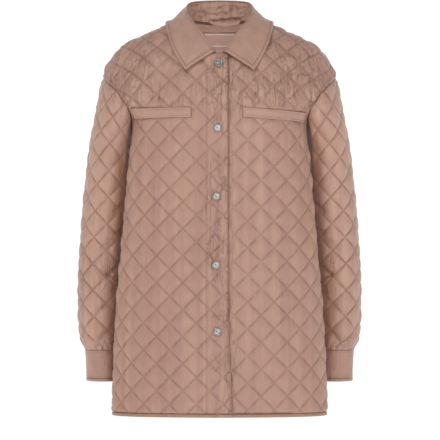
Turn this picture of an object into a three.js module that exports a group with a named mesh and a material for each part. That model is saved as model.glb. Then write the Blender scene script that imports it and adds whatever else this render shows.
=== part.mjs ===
// Quilted jacket, filled out and hollow, in millimetres with +Z up.
// The origin is the middle of the neck, the front faces -Y and +X is the viewer's right.
// Every cloth piece is a flat sheet of quilting cut by its seams and laid on the jacket's form.
import * as THREE from "three";

// Cloth
const WALL = 2.4;
const PLAIN_WALL = 1.6;
const SEAM_GAP = 0.3;
const QUILT_DIAGONAL = 49;
const PUFF = 3.5;
const CELL = QUILT_DIAGONAL / 2;

// Heights of the main lines
const HEM_Z = -724;
const HEM_BINDING = 6.3;
const CUFF_TOP_Z = -607.8;
const CUFF_BOTTOM_Z = -665;
const CUFF_BINDING = 6;
const TOP_Z = 20;

// Armhole: an upright oval that the body and the sleeve share
const ARMHOLE_Z = -148.5;
const ARMHOLE_HALF_HEIGHT = 43.5;
const ARMHOLE_HALF_DEPTH = 85;

// Neck
const NECK_HALF_WIDTH = 65;
const NECK_FRONT_Z = -61;
const NECK_FRONT_EASE = 2;
const NECK_SIDE_Z = 8;
const NECK_BACK_Z = 1;
const NECK_FRONT_POWER = 2.2;

// Placket: the wearer's right front lies over the left one
const PLACKET_EDGE = 16.9;
const PLACKET_EDGE_AT_HEM = 23.6;
const PLACKET_FLARE_Z = -540;
const PLACKET_SEAM = -22.5;
const PLACKET_LIFT = WALL + 1;
const PLACKET_RISE = 26;
const UNDERLAP = -16;
const PLACKET_MARGIN = 2.4;

// The quilting's phase on each panel: one crossing of its stitch lines
const QUILT_PHASE = {
  front_right: { s: -91, z: -406 },
  front_left: { s: 75.5, z: -441 },
  back: { s: 0, z: -417 },
  sleeve: { s: 88, z: -226 },
};

// Body sections, from the hem up
const BODY = [
  { z: -729, width: 197, middle: -40, front: 88, back: 166, power: 2.1 },
  { z: -533, width: 189, middle: -40, front: 84, back: 160, power: 2.1 },
  { z: -407, width: 178, middle: -40, front: 81, back: 155, power: 2.1 },
  { z: -329, width: 171, middle: -40, front: 81, back: 152, power: 2.1 },
  { z: -255, width: 165, middle: -40, front: 82, back: 154, power: 2.1 },
  { z: -220, width: 162, middle: -40, front: 82, back: 156, power: 2.15 },
  { z: -192, width: 161, middle: -37, front: 85, back: 155, power: 2.25 },
  { z: -179, width: 167, middle: -32, front: 90, back: 151, power: 2.4 },
  { z: -165, width: 188, middle: -26, front: 96, back: 145, power: 2.6 },
  { z: -148, width: 215, middle: -20, front: 101, back: 140, power: 2.9 },
  { z: -130, width: 225, middle: -12, front: 106, back: 130, power: 2.9 },
  { z: -118, width: 223, middle: -6, front: 109, back: 122, power: 2.8 },
  { z: -105, width: 215, middle: 0, front: 112, back: 114, power: 2.7 },
  { z: -85, width: 208, middle: 0, front: 104, back: 110, power: 2.5 },
  { z: -68, width: 198, middle: 0, front: 95, back: 104, power: 2.4 },
  { z: -47, width: 179, middle: 0, front: 81, back: 95, power: 2.3 },
  { z: -31, width: 151, middle: 0, front: 67, back: 86, power: 2.3 },
  { z: -8, width: 98, middle: 0, front: 44, back: 67, power: 2.3 },
  { z: 9, width: 60, middle: 0, front: 24, back: 42, power: 2.3 },
  { z: 20, width: 34, middle: 0, front: 10, back: 22, power: 2.3 },
];
const FRONT_POWER = 2.3;

// Sleeve sections on the +X side, from the cuff up
const SLEEVE = [
  { z: -665, outer: 247, inner: 185, middle: 45, depth: 45 },
  { z: -607, outer: 250, inner: 185, middle: 46, depth: 48 },
  { z: -585, outer: 257, inner: 186, middle: 47, depth: 52 },
  { z: -550, outer: 260, inner: 185, middle: 49, depth: 54 },
  { z: -479, outer: 261, inner: 179, middle: 49, depth: 57 },
  { z: -403, outer: 257, inner: 173, middle: 47, depth: 60 },
  { z: -329, outer: 251, inner: 166, middle: 43, depth: 63 },
  { z: -255, outer: 243, inner: 163, middle: 34, depth: 68 },
  { z: -218, outer: 238, inner: 162, middle: 24, depth: 73 },
  { z: -190, outer: 232, inner: 159, middle: 14, depth: 79 },
  { z: -150, outer: 226, inner: 146, middle: 5, depth: 85 },
  { z: -105, outer: 219, inner: 140, middle: 2, depth: 85 },
];
const SLEEVE_HEAD_BLEND = 110;
const SLEEVE_CLEARANCE = 4;
const SLEEVE_PARTING = 0.25;

// Chest welts, in arc from the centre front and in height
const WELTS = [
  { name: "welt_right", side: -1, inner: 51, outer: 167, inner_z: -160.5, outer_z: -161.5, height: 20 },
  { name: "welt_left", side: 1, inner: 42, outer: 166, inner_z: -160.5, outer_z: -169, height: 19 },
];

// Collar lines on the +X side, from the centre front to the centre back
const COLLAR = [
  { at: 0, fold: [7, -93, -61], edge: [62, -110, -96] },
  { at: 0.12, fold: [19, -83, -43], edge: [70, -104, -84] },
  { at: 0.26, fold: [34, -66, -21.5], edge: [81, -92, -65] },
  { at: 0.4, fold: [47, -45, -4], edge: [90, -68, -45] },
  { at: 0.52, fold: [55, -24, 11.5], edge: [95, -38, -24] },
  { at: 0.64, fold: [57.5, 0, 26], edge: [96, 0, -6] },
  { at: 0.76, fold: [53, 24, 35.6], edge: [84, 44, -8] },
  { at: 0.88, fold: [32, 44, 40], edge: [48, 73, -12] },
  { at: 1, fold: [0, 51, 41.4], edge: [0, 82, -14] },
];
const COLLAR_STEPS = 34;
const COLLAR_REST = 5.8;
const COLLAR_REST_AT_PLACKET = 9.2;

// Back neck facing, label and hanger loop
const FACING = { half_width: 70, bottom_z: -76 };
const LABEL = { from: -33, to: 42, top_z: -12, bottom_z: -40 };
const FACING_WALL = 1.2;
const LABEL_WALL = 1;
const HANGER = { from: -19, to: 39, ends_z: 6, dip: 8, width: 7, reach: 7 };

// Snaps: places in arc from the centre front and in height
const SNAP_RADIUS = 7.5;
const SNAP_SIDES = 14;
const SNAPS = [
  { s: -1.5, z: -82.8 },
  { s: -3.5, z: -199 },
  { s: -5.6, z: -323 },
  { s: -6.2, z: -447.8 },
  { s: -4.2, z: -568.4 },
];

// Mesh steps
const SEAM_STEP = 9;
const SNAP_DISTANCE = 3;
const CORNER_REACH = 9;
const RING_STEPS = 24;
const ARC_SAMPLES = 72;
const DELTA = 0.4;

// Smooth values between the rows of a table of sections
function sectionAt(table, z) {
  const up = table[0].z < table[table.length - 1].z;
  const rows = up ? table : [...table].reverse();
  const low = rows[0].z;
  const high = rows[rows.length - 1].z;
  const height = Math.min(Math.max(z, low), high);
  let k = 0;
  while (k < rows.length - 2 && rows[k + 1].z < height) k += 1;
  const a = rows[k];
  const b = rows[k + 1];
  const span = b.z - a.z;
  const f = (height - a.z) / span;
  const result = { z };
  for (const key of Object.keys(a)) {
    if (key === "z") continue;
    const slope = (row) => {
      const i = rows.indexOf(row);
      const before = rows[Math.max(i - 1, 0)];
      const after = rows[Math.min(i + 1, rows.length - 1)];
      return (after[key] - before[key]) / (after.z - before.z);
    };
    const f2 = f * f;
    const f3 = f2 * f;
    result[key] = (2 * f3 - 3 * f2 + 1) * a[key] + (f3 - 2 * f2 + f) * span * slope(a)
      + (-2 * f3 + 3 * f2) * b[key] + (f3 - f2) * span * slope(b);
  }
  return result;
}

function smooth(value) {
  const f = Math.min(Math.max(value, 0), 1);
  return f * f * (3 - 2 * f);
}

// Half of a level section of the body, from the centre front round to the centre back
const slices = new Map();
function bodySlice(z) {
  const key = Math.round(z * 1000);
  if (slices.has(key)) return slices.get(key);
  const form = sectionAt(BODY, z);
  const x = [];
  const y = [];
  const arc = [0];
  for (let k = 0; k <= ARC_SAMPLES; k += 1) {
    const angle = Math.PI * k / ARC_SAMPLES;
    const back = angle > Math.PI / 2;
    const power = 2 / (back ? form.power : FRONT_POWER);
    const depth = back ? form.back : form.front;
    x.push(form.width * Math.abs(Math.sin(angle)) ** power);
    y.push(form.middle - Math.sign(Math.cos(angle)) * depth * Math.abs(Math.cos(angle)) ** power);
    if (k > 0) arc.push(arc[k - 1] + Math.hypot(x[k] - x[k - 1], y[k] - y[k - 1]));
  }
  const slice = { form, x, y, arc, total: arc[ARC_SAMPLES] };
  slices.set(key, slice);
  return slice;
}

function lookUp(keys, values, key) {
  let low = 0;
  let high = keys.length - 1;
  if (key <= keys[0]) return values[0];
  if (key >= keys[high]) return values[high];
  while (high - low > 1) {
    const middle = (low + high) >> 1;
    if (keys[middle] > key) high = middle;
    else low = middle;
  }
  const f = (key - keys[low]) / (keys[high] - keys[low]);
  return values[low] + (values[high] - values[low]) * f;
}

// A point of the body at an arc s from the centre, on the front or the back
function bodyPoint(back, s, z) {
  const slice = bodySlice(z);
  const arc = back ? slice.total - Math.abs(s) : Math.abs(s);
  const x = lookUp(slice.arc, slice.x, arc) * (s < 0 ? -1 : 1);
  return new THREE.Vector3(x, lookUp(slice.arc, slice.y, arc), z);
}

// Half-width of the body at a height and a depth
function bodyWidthAt(z, y) {
  const { form } = bodySlice(z);
  const behind = y > form.middle;
  const power = behind ? form.power : FRONT_POWER;
  const ratio = Math.min(Math.abs(y - form.middle) / (behind ? form.back : form.front), 1);
  return form.width * (1 - ratio ** power) ** (1 / power);
}

// Distance outside the body's form, near enough close to it
function bodyDistance(point) {
  const radius = (x, y, z) => {
    const { form } = bodySlice(z);
    const behind = y > form.middle;
    const power = behind ? form.power : FRONT_POWER;
    const depth = behind ? form.back : form.front;
    return ((Math.abs(x) / form.width) ** power + (Math.abs(y - form.middle) / depth) ** power)
      ** (1 / power);
  };
  const { x, y, z } = point;
  const here = radius(x, y, z);
  const gradient = new THREE.Vector3(
    (radius(x + DELTA, y, z) - radius(x - DELTA, y, z)) / (2 * DELTA),
    (radius(x, y + DELTA, z) - radius(x, y - DELTA, z)) / (2 * DELTA),
    (radius(x, y, z + DELTA) - radius(x, y, z - DELTA)) / (2 * DELTA),
  );
  const steepness = gradient.length();
  return { distance: (here - 1) / steepness, outward: gradient.divideScalar(steepness) };
}

function pushedOut(point, clearance) {
  const result = point.clone();
  for (let round = 0; round < 5; round += 1) {
    if (result.z > TOP_Z - 2) return result;
    const { distance, outward } = bodyDistance(result);
    if (distance >= clearance) return result;
    result.addScaledVector(outward, (clearance - distance) * 0.8);
  }
  return result;
}

// Height of a lattice row on the column at arc s: rows follow the cloth over the chest
const columns = new Map();
function rowHeight(back, s, distance, start) {
  const key = `${back}${Math.round(Math.abs(s) * 100)}`;
  if (!columns.has(key)) {
    const heights = [];
    const lengths = [0];
    const step = 6;
    let last = null;
    for (let z = HEM_Z - 60; z <= TOP_Z + 40; z += step) {
      const point = bodyPoint(back, s, Math.max(Math.min(z, TOP_Z), HEM_Z));
      point.z = z;
      if (last) lengths.push(lengths[lengths.length - 1] + Math.min(point.distanceTo(last), 2 * step));
      heights.push(z);
      last = point;
    }
    columns.set(key, { heights, lengths });
  }
  const { heights, lengths } = columns.get(key);
  return lookUp(lengths, heights, lookUp(heights, lengths, start) + distance);
}

// Cutting lines of the body panels: each is positive where the cloth is cut away
function measured(value) {
  return (s, z) => {
    const here = value(s, z);
    const ds = (value(s + DELTA, z) - value(s - DELTA, z)) / (2 * DELTA);
    const dz = (value(s, z + DELTA) - value(s, z - DELTA)) / (2 * DELTA);
    return here / Math.max(Math.hypot(ds, dz), 1e-6);
  };
}

function sideSeam(back) {
  const turn = back ? -1 : 1;
  return (s, z) => bodyPoint(back, s, z).y * turn + SEAM_GAP / 2;
}

function armhole(back) {
  const value = measured((s, z) => {
    const { y } = bodyPoint(back, s, z);
    return 1 - Math.hypot(y / ARMHOLE_HALF_DEPTH, (z - ARMHOLE_Z) / ARMHOLE_HALF_HEIGHT);
  });
  return (s, z) => value(s, z) + SEAM_GAP / 2;
}

function neckline(back) {
  return measured((s, z) => {
    const ratio = Math.abs(bodyPoint(back, s, z).x) / NECK_HALF_WIDTH;
    const lowest = NECK_FRONT_Z - NECK_FRONT_EASE;
    const front = lowest + (NECK_SIDE_Z - lowest) * ratio ** NECK_FRONT_POWER;
    const rear = NECK_BACK_Z + (NECK_SIDE_Z - NECK_BACK_Z - 1) * ratio ** 2;
    return z - (back ? rear : front);
  });
}

function placketEdge(z) {
  const flare = Math.max(0, (PLACKET_FLARE_Z - z) / (PLACKET_FLARE_Z - HEM_Z));
  return PLACKET_EDGE + (PLACKET_EDGE_AT_HEM - PLACKET_EDGE) * flare;
}

// A flat sheet of quilting: squares on point, low at the stitches and high in the middles
function quiltSheet(phase, from, to, bottom, top, rowAt) {
  const points = [];
  const triangles = [];
  const first = Math.floor((from - phase.s) / CELL);
  const last = Math.ceil((to - phase.s) / CELL);
  const lowest = Math.floor((bottom - phase.z) / CELL) - 1;
  const highest = Math.ceil((top - phase.z) / CELL) + 4;
  const wide = last - first + 1;
  for (let j = lowest; j <= highest; j += 1) {
    for (let i = first; i <= last; i += 1) {
      const s = phase.s + i * CELL;
      points.push({ s, z: rowAt(s, j * CELL), puff: (i + j) % 2 === 0 ? 0 : 1 });
    }
  }
  for (let j = 0; j < highest - lowest; j += 1) {
    for (let i = 0; i < wide - 1; i += 1) {
      const a = j * wide + i;
      const b = a + 1;
      const c = b + wide;
      const d = a + wide;
      if (points[a].puff === 0) triangles.push([a, b, c], [a, c, d]);
      else triangles.push([a, b, d], [b, c, d]);
    }
  }
  return { points, triangles };
}

// Moves a point onto a line along the line's steepest direction
function ontoLine(point, line) {
  for (let round = 0; round < 6; round += 1) {
    const value = line(point.s, point.z);
    if (Math.abs(value) < 1e-4) return;
    const ds = (line(point.s + DELTA, point.z) - line(point.s - DELTA, point.z)) / (2 * DELTA);
    const dz = (line(point.s, point.z + DELTA) - line(point.s, point.z - DELTA)) / (2 * DELTA);
    const slope = Math.max(ds * ds + dz * dz, 1e-6);
    point.s -= value * ds / slope;
    point.z -= value * dz / slope;
  }
}

// Moves a point onto a line, or onto the corner of two lines; a corner stays where it is
function snapPoint(point, line) {
  const lines = point.lines || [];
  if (lines.length > 1) return lines.includes(line);
  const start = { s: point.s, z: point.z };
  for (let round = 0; round < 12; round += 1) {
    ontoLine(point, line);
    lines.forEach((other) => ontoLine(point, other));
  }
  if (Math.hypot(point.s - start.s, point.z - start.z) > 3 * SNAP_DISTANCE) {
    Object.assign(point, start);
    return false;
  }
  point.lines = [...lines, line];
  return true;
}

// Splits a sheet's triangles along a line, inside a region, and marks the points on it
function score(sheet, line, within = () => true, tag = "line", flat = true) {
  const { points } = sheet;
  const values = points.map((p) => line(p.s, p.z));
  const used = new Set(sheet.triangles.flat());
  points.forEach((p, i) => {
    if (!used.has(i) || Math.abs(values[i]) > SNAP_DISTANCE || !within(p.s, p.z)) return;
    if (!snapPoint(p, line)) return;
    values[i] = 0;
    if (flat) p.puff = 0;
    p[tag] = true;
  });
  const side = (i) => (Math.abs(values[i]) < 0.05 ? 0 : Math.sign(values[i]));
  const cuts = new Map();
  const cutOf = (a, b) => {
    if (side(a) * side(b) >= 0) return -1;
    const key = a < b ? `${a}_${b}` : `${b}_${a}`;
    if (cuts.has(key)) return cuts.get(key);
    let low = side(a) < 0 ? points[a] : points[b];
    let high = side(a) < 0 ? points[b] : points[a];
    for (let round = 0; round < 30; round += 1) {
      const middle = { s: (low.s + high.s) / 2, z: (low.z + high.z) / 2 };
      if (line(middle.s, middle.z) < 0) low = middle;
      else high = middle;
    }
    let index = -1;
    if (within(low.s, low.z)) {
      index = points.length;
      const shared = Object.keys(points[a]).filter((k) => points[a][k] === true && points[b][k] === true);
      const share = Math.hypot(low.s - points[a].s, low.z - points[a].z)
        / Math.hypot(points[b].s - points[a].s, points[b].z - points[a].z);
      const puff = flat ? 0 : points[a].puff * (1 - share) + points[b].puff * share;
      const point = { s: low.s, z: low.z, puff, lines: [line], [tag]: true };
      shared.forEach((k) => { point[k] = true; });
      const common = (points[a].lines || []).find((other) => (points[b].lines || []).includes(other));
      if (common) snapPoint(point, common);
      points.push(point);
      values.push(0);
    }
    cuts.set(key, index);
    return index;
  };
  const triangles = [];
  for (const [a, b, c] of sheet.triangles) {
    const corners = [a, b, c];
    const middles = [cutOf(a, b), cutOf(b, c), cutOf(c, a)];
    const count = middles.filter((m) => m >= 0).length;
    if (count === 0) {
      triangles.push(corners);
    } else if (count === 1) {
      const k = middles.findIndex((m) => m >= 0);
      const [p, q, r] = [corners[k], corners[(k + 1) % 3], corners[(k + 2) % 3]];
      triangles.push([p, middles[k], r], [middles[k], q, r]);
    } else {
      const k = middles.findIndex((m) => m < 0);
      const [p, q, r] = [corners[k], corners[(k + 1) % 3], corners[(k + 2) % 3]];
      const m = middles[(k + 1) % 3];
      const n = middles[(k + 2) % 3];
      triangles.push([m, r, n], [p, q, m], [p, m, n]);
    }
  }
  sheet.triangles = triangles;
  return sheet;
}

function centreOf(sheet, triangle) {
  const [a, b, c] = triangle.map((i) => sheet.points[i]);
  return { s: (a.s + b.s + c.s) / 3, z: (a.z + b.z + c.z) / 3 };
}

function keep(sheet, wanted) {
  const triangles = sheet.triangles.filter((t) => {
    const { s, z } = centreOf(sheet, t);
    return wanted(s, z);
  });
  return { points: sheet.points, triangles };
}

function trim(sheet, line, tag) {
  score(sheet, line, undefined, tag);
  sheet.triangles = sheet.triangles.filter((t) => {
    const { s, z } = centreOf(sheet, t);
    return line(s, z) < 0;
  });
  return sheet;
}

function edgesOf(triangles) {
  const edges = new Map();
  triangles.forEach((triangle, index) => {
    for (let k = 0; k < 3; k += 1) {
      const from = triangle[k];
      const to = triangle[(k + 1) % 3];
      edges.set(`${from}_${to}`, { from, to, index });
    }
  });
  return edges;
}

function boundary(sheet) {
  const edges = edgesOf(sheet.triangles);
  return [...edges.values()].filter(({ from, to }) => !edges.has(`${to}_${from}`));
}

// Cuts a seam's long edges into short ones whose points lie on the seam
function refine(sheet, tag, line, step = SEAM_STEP) {
  for (let round = 0; round < 4; round += 1) {
    const long = boundary(sheet).filter(({ from, to }) => {
      const a = sheet.points[from];
      const b = sheet.points[to];
      return a[tag] && b[tag] && Math.hypot(a.s - b.s, a.z - b.z) > step;
    });
    const touched = new Set();
    for (const { from, to, index } of long) {
      if (touched.has(index)) continue;
      touched.add(index);
      const a = sheet.points[from];
      const b = sheet.points[to];
      const point = { s: (a.s + b.s) / 2, z: (a.z + b.z) / 2, puff: 0, lines: [line], [tag]: true };
      ontoLine(point, line);
      const middle = sheet.points.push(point) - 1;
      const apex = sheet.triangles[index].find((i) => i !== from && i !== to);
      sheet.triangles[index] = [from, middle, apex];
      sheet.triangles.push([middle, to, apex]);
    }
  }
  return sheet;
}

// A wall of cloth on a sheet: outer points by the puffs, inner ones plain
function wallGeometry(sheet, place, turned, outerOf, innerOf) {
  const order = [...new Set(sheet.triangles.flat())];
  const slot = new Map(order.map((i, k) => [i, k]));
  const positions = [];
  const placed = order.map((i) => place(sheet.points[i]));
  const push = (offsetOf) => placed.forEach(({ point, normal }, k) => {
    const p = point.clone().addScaledVector(normal, offsetOf(sheet.points[order[k]]));
    positions.push(p.x, p.y, p.z);
  });
  push(outerOf);
  push(innerOf);
  const count = order.length;
  const index = [];
  const add = (a, b, c) => (turned ? index.push(a, c, b) : index.push(a, b, c));
  for (const [a, b, c] of sheet.triangles) {
    add(slot.get(a), slot.get(b), slot.get(c));
    add(count + slot.get(a), count + slot.get(c), count + slot.get(b));
  }
  for (const { from, to } of boundary(sheet)) {
    const a = slot.get(from);
    const b = slot.get(to);
    add(b, a, count + a);
    add(b, count + a, count + b);
  }
  const geometry = new THREE.BufferGeometry();
  geometry.setAttribute("position", new THREE.Float32BufferAttribute(positions, 3));
  geometry.setIndex(index);
  geometry.computeVertexNormals();
  return geometry;
}

function mirrored(geometry) {
  const copy = geometry.clone().scale(-1, 1, 1);
  const index = copy.getIndex();
  for (let k = 0; k < index.count; k += 3) {
    const second = index.getX(k + 1);
    index.setX(k + 1, index.getX(k + 2));
    index.setX(k + 2, second);
  }
  copy.computeVertexNormals();
  return copy;
}

// A surface's point and outward normal, from a function of two parameters
function surface(at, turned) {
  return ({ s, z }) => {
    const point = at(s, z);
    const across = at(s + DELTA, z).sub(at(s - DELTA, z));
    const up = at(s, z + DELTA).sub(at(s, z - DELTA));
    const normal = across.cross(up).normalize();
    return { point, normal: turned ? normal.negate() : normal };
  };
}

const frontSurface = surface((s, z) => bodyPoint(false, s, z), false);
const backSurface = surface((s, z) => bodyPoint(true, s, z), true);

// How far the right front is lifted over the left one
function placketLift(s) {
  return PLACKET_LIFT * smooth((s - PLACKET_SEAM + PLACKET_RISE) / PLACKET_RISE);
}

// Puffs die out under the arms, where the sleeve lies against the body
function sidePuff(point) {
  const { y, z } = point;
  const below = smooth((z + 700) / 60) * smooth((-95 - z) / 30);
  const side = 0.75 * smooth((y + 55) / 40) * smooth((95 - y) / 40) * below;
  const under = smooth((z + 250) / 30) * smooth((-95 - z) / 30);
  const pit = smooth((y + 85) / 25) * smooth((100 - y) / 25) * under;
  return Math.abs(point.x) > 140 ? Math.max(1 - side - pit, 0) : 1;
}

const material = (color, roughness = 0.55, metalness = 0) =>
  new THREE.MeshStandardMaterial({ color, roughness, metalness });
const NYLON = material(0xb28d7c);
const TRIM = material(0xa5826f);
const FACING_CLOTH = material(0xab8773);
const LABEL_CLOTH = material(0xb7988a);
const METAL = material(0xb8b7b4, 0.3, 1);

const jacket = new THREE.Group();
jacket.name = "quilted_jacket";

function addMesh(name, geometry, look) {
  const mesh = new THREE.Mesh(geometry, look);
  mesh.name = name;
  jacket.add(mesh);
  return mesh;
}

// Lines of a four-sided patch on a panel, with the region that each line is scored in
function patchLines({ from, to, top, bottom }) {
  const margin = 0.6;
  const inBand = (s, z) => z < top(s) + margin && z > bottom(s) - margin;
  const inSpan = (s) => s > from - margin && s < to + margin;
  return [
    { line: (s, z) => z - top(s), within: (s) => inSpan(s) },
    { line: (s, z) => bottom(s) - z, within: (s) => inSpan(s) },
    { line: (s) => from - s, within: inBand },
    { line: (s) => s - to, within: inBand },
  ];
}

function inPatch({ from, to, top, bottom }) {
  return (s, z) => s > from && s < to && z < top(s) && z > bottom(s);
}

// Puts a patch's corner into a sheet, by moving a near point or splitting the sheet there
function insertCorner(sheet, corner, tag) {
  const { points } = sheet;
  const used = [...new Set(sheet.triangles.flat())];
  const gap = (i) => Math.hypot(points[i].s - corner.s, points[i].z - corner.z);
  const nearest = used.reduce((best, i) => (gap(i) < gap(best) ? i : best));
  if (gap(nearest) < CORNER_REACH && !points[nearest].lines) {
    Object.assign(points[nearest], corner, { puff: 0, [tag]: true });
    return;
  }
  const cross = (a, b) => (b.s - a.s) * (corner.z - a.z) - (corner.s - a.s) * (b.z - a.z);
  const holds = (t) => t.every((i, k) => cross(points[i], points[t[(k + 1) % 3]]) >= 0);
  const home = sheet.triangles.find(holds);
  if (!home) return;
  const index = points.push({ ...corner, puff: 0, [tag]: true }) - 1;
  const distance = (k) => {
    const [a, b] = [points[home[k]], points[home[(k + 1) % 3]]];
    return cross(a, b) / Math.hypot(b.s - a.s, b.z - a.z);
  };
  const side = [0, 1, 2].find((k) => distance(k) < SNAP_DISTANCE);
  const ends = [home[side], home[(side + 1) % 3]];
  const split = side === undefined
    ? (t) => (t === home ? [0, 1, 2].map((k) => [t[k], t[(k + 1) % 3], index]) : [t])
    : (t) => {
      const k = [0, 1, 2].find((e) => ends.includes(t[e]) && ends.includes(t[(e + 1) % 3]));
      if (k === undefined) return [t];
      return [[t[k], index, t[(k + 2) % 3]], [index, t[(k + 1) % 3], t[(k + 2) % 3]]];
    };
  sheet.triangles = sheet.triangles.flatMap(split);
}

function scorePatch(sheet, patch, tag) {
  const [above, below, start, finish] = patchLines(patch);
  for (const [edge, s] of [[start, patch.from], [finish, patch.to]]) {
    insertCorner(sheet, { s, z: patch.top(s), lines: [above.line, edge.line] }, tag);
    insertCorner(sheet, { s, z: patch.bottom(s), lines: [below.line, edge.line] }, tag);
  }
  for (const { line, within } of [above, below, start, finish]) {
    score(sheet, line, within, tag);
  }
  const inside = inPatch({ ...patch, from: patch.from - 0.1, to: patch.to + 0.1 });
  sheet.points.forEach((p) => {
    if (inside(p.s, p.z)) p.puff = 0;
  });
}

function weltPatch({ side, inner, outer, inner_z: innerZ, outer_z: outerZ, height }) {
  const slope = (outerZ - innerZ) / (outer - inner);
  const top = (s) => innerZ + slope * (Math.abs(s) - inner);
  return {
    from: side > 0 ? inner : -outer,
    to: side > 0 ? outer : -inner,
    top,
    bottom: (s) => top(s) - height,
  };
}

// One front: its sheet of quilting cut by its seams, with its welt's place flat
function frontSheet(phase, right, welt) {
  const row = (s, distance) => rowHeight(false, s, distance, phase.z);
  const sheet = right
    ? quiltSheet(phase, -330, PLACKET_EDGE_AT_HEM + CELL, HEM_Z, TOP_Z, row)
    : quiltSheet(phase, UNDERLAP - CELL, 330, HEM_Z, TOP_Z, row);
  const seam = sideSeam(false);
  const hole = armhole(false);
  const neck = neckline(false);
  const edge = right ? (s, z) => s - placketEdge(z) : (s) => UNDERLAP - s;
  trim(sheet, (s, z) => HEM_Z + HEM_BINDING + SEAM_GAP - z, "hem");
  trim(sheet, seam, "seam");
  trim(sheet, hole, "armhole");
  trim(sheet, neck, "neck");
  trim(sheet, edge, "edge");
  if (!right) {
    score(sheet, (s, z) => s - placketEdge(z) - PLACKET_MARGIN, undefined, "placket");
    sheet.points.forEach((p) => {
      if (p.s < placketEdge(p.z) + PLACKET_MARGIN + 0.1) p.puff = 0;
    });
  }
  scorePatch(sheet, weltPatch(welt), "welt");
  refine(sheet, "seam", seam, 2 * SEAM_STEP);
  refine(sheet, "armhole", hole);
  refine(sheet, "neck", neck);
  return sheet;
}

function backSheet() {
  const phase = QUILT_PHASE.back;
  const row = (s, distance) => rowHeight(true, s, distance, phase.z);
  const sheet = quiltSheet(phase, -330, 330, HEM_Z, TOP_Z, row);
  const seam = sideSeam(true);
  const hole = armhole(true);
  const neck = neckline(true);
  trim(sheet, (s, z) => HEM_Z + HEM_BINDING + SEAM_GAP - z, "hem");
  trim(sheet, seam, "seam");
  trim(sheet, hole, "armhole");
  trim(sheet, neck, "neck");
  score(sheet, (s, z) => z - FACING.bottom_z, (s) => Math.abs(s) < FACING.half_width + 1, "facing", false);
  for (const side of [-1, 1]) {
    score(sheet, (s) => side * s - FACING.half_width, (s, z) => z > FACING.bottom_z - 1, "facing", false);
  }
  refine(sheet, "seam", seam, 2 * SEAM_STEP);
  refine(sheet, "armhole", hole);
  refine(sheet, "neck", neck);
  return sheet;
}

function outerOffset(place, lift = () => 0) {
  return (p) => lift(p.s) + PUFF * p.puff * sidePuff(place(p).point);
}

// The binding under a panel's hem, drawn from the panel's own lowest points
function bindingSheet(sheet) {
  const chain = boundary(sheet).filter(({ from, to }) => sheet.points[from].hem && sheet.points[to].hem);
  const order = [...new Set(chain.flatMap(({ from, to }) => [from, to]))]
    .map((i) => sheet.points[i])
    .sort((a, b) => a.s - b.s);
  const points = [];
  const triangles = [];
  order.forEach(({ s }, k) => {
    points.push({ s, z: HEM_Z, puff: 0 }, { s, z: HEM_Z + HEM_BINDING, puff: 0 });
    if (k === 0) return;
    const a = 2 * k - 2;
    triangles.push([a, a + 2, a + 3], [a, a + 3, a + 1]);
  });
  return { points, triangles };
}

function addBinding(name, sheet, place, turned, lift) {
  const proud = 0.5;
  const outer = (p) => lift(p.s) + (lift(p.s) < 0 ? 0 : proud);
  addMesh(name, wallGeometry(bindingSheet(sheet), place, turned, outer,
    (p) => Math.max(lift(p.s), 0) - WALL), TRIM);
}

const rightSheet = frontSheet(QUILT_PHASE.front_right, true, WELTS[0]);
const leftSheet = frontSheet(QUILT_PHASE.front_left, false, WELTS[1]);
const rearSheet = backSheet();
const noLift = () => 0;

addMesh("front_right", wallGeometry(rightSheet, frontSurface, false,
  outerOffset(frontSurface, placketLift), (p) => placketLift(p.s) - WALL), NYLON);
addMesh("front_left", wallGeometry(leftSheet, frontSurface, false,
  outerOffset(frontSurface), () => -WALL), NYLON);
addMesh("back", wallGeometry(rearSheet, backSurface, true,
  outerOffset(backSurface), () => -WALL), NYLON);
addBinding("hem_binding_front_right", rightSheet, frontSurface, false, placketLift);
addBinding("hem_binding_front_left", leftSheet, frontSurface, false,
  (s) => (s < PLACKET_EDGE_AT_HEM + PLACKET_MARGIN ? -0.001 : 0));
addBinding("hem_binding_back", rearSheet, backSurface, true, noLift);

// Each welt is its front's own points, moved out
function addWelt(welt, sheet, lift) {
  const patch = keep(sheet, inPatch(weltPatch(welt)));
  addMesh(welt.name, wallGeometry(patch, frontSurface, false,
    (p) => lift(p.s) + SEAM_GAP + PLAIN_WALL + 0.6, (p) => lift(p.s) + SEAM_GAP), TRIM);
}

addWelt(WELTS[0], rightSheet, placketLift);
addWelt(WELTS[1], leftSheet, noLift);

// The back neck facing and the label are the back's own points, moved in
function addFacing() {
  const facing = keep(rearSheet, (s, z) => Math.abs(s) < FACING.half_width && z > FACING.bottom_z);
  const spacing = 3 * SEAM_GAP;
  const outside = -WALL - spacing;
  addMesh("back_facing", wallGeometry(facing, backSurface, true,
    () => outside, () => outside - FACING_WALL), FACING_CLOTH);
  const label = { points: facing.points.map((p) => ({ ...p })), triangles: facing.triangles };
  scorePatch(label, {
    from: LABEL.from, to: LABEL.to, top: () => LABEL.top_z, bottom: () => LABEL.bottom_z,
  }, "label");
  const patch = keep(label, (s, z) => s > LABEL.from && s < LABEL.to
    && z < LABEL.top_z && z > LABEL.bottom_z);
  const seat = outside - FACING_WALL - spacing;
  addMesh("neck_label", wallGeometry(patch, backSurface, true, () => seat, () => seat - LABEL_WALL),
    LABEL_CLOTH);
}

addFacing();

// Even steps along a curve, as a function from a share of its length to its parameter
function evenly(curve, samples = 200) {
  const parameters = [0];
  const lengths = [0];
  let last = curve(0);
  for (let k = 1; k <= samples; k += 1) {
    const next = curve(k / samples);
    parameters.push(k / samples);
    lengths.push(lengths[k - 1] + next.distanceTo(last));
    last = next;
  }
  const total = lengths[samples];
  return (share) => lookUp(lengths, parameters, share * total);
}

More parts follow.
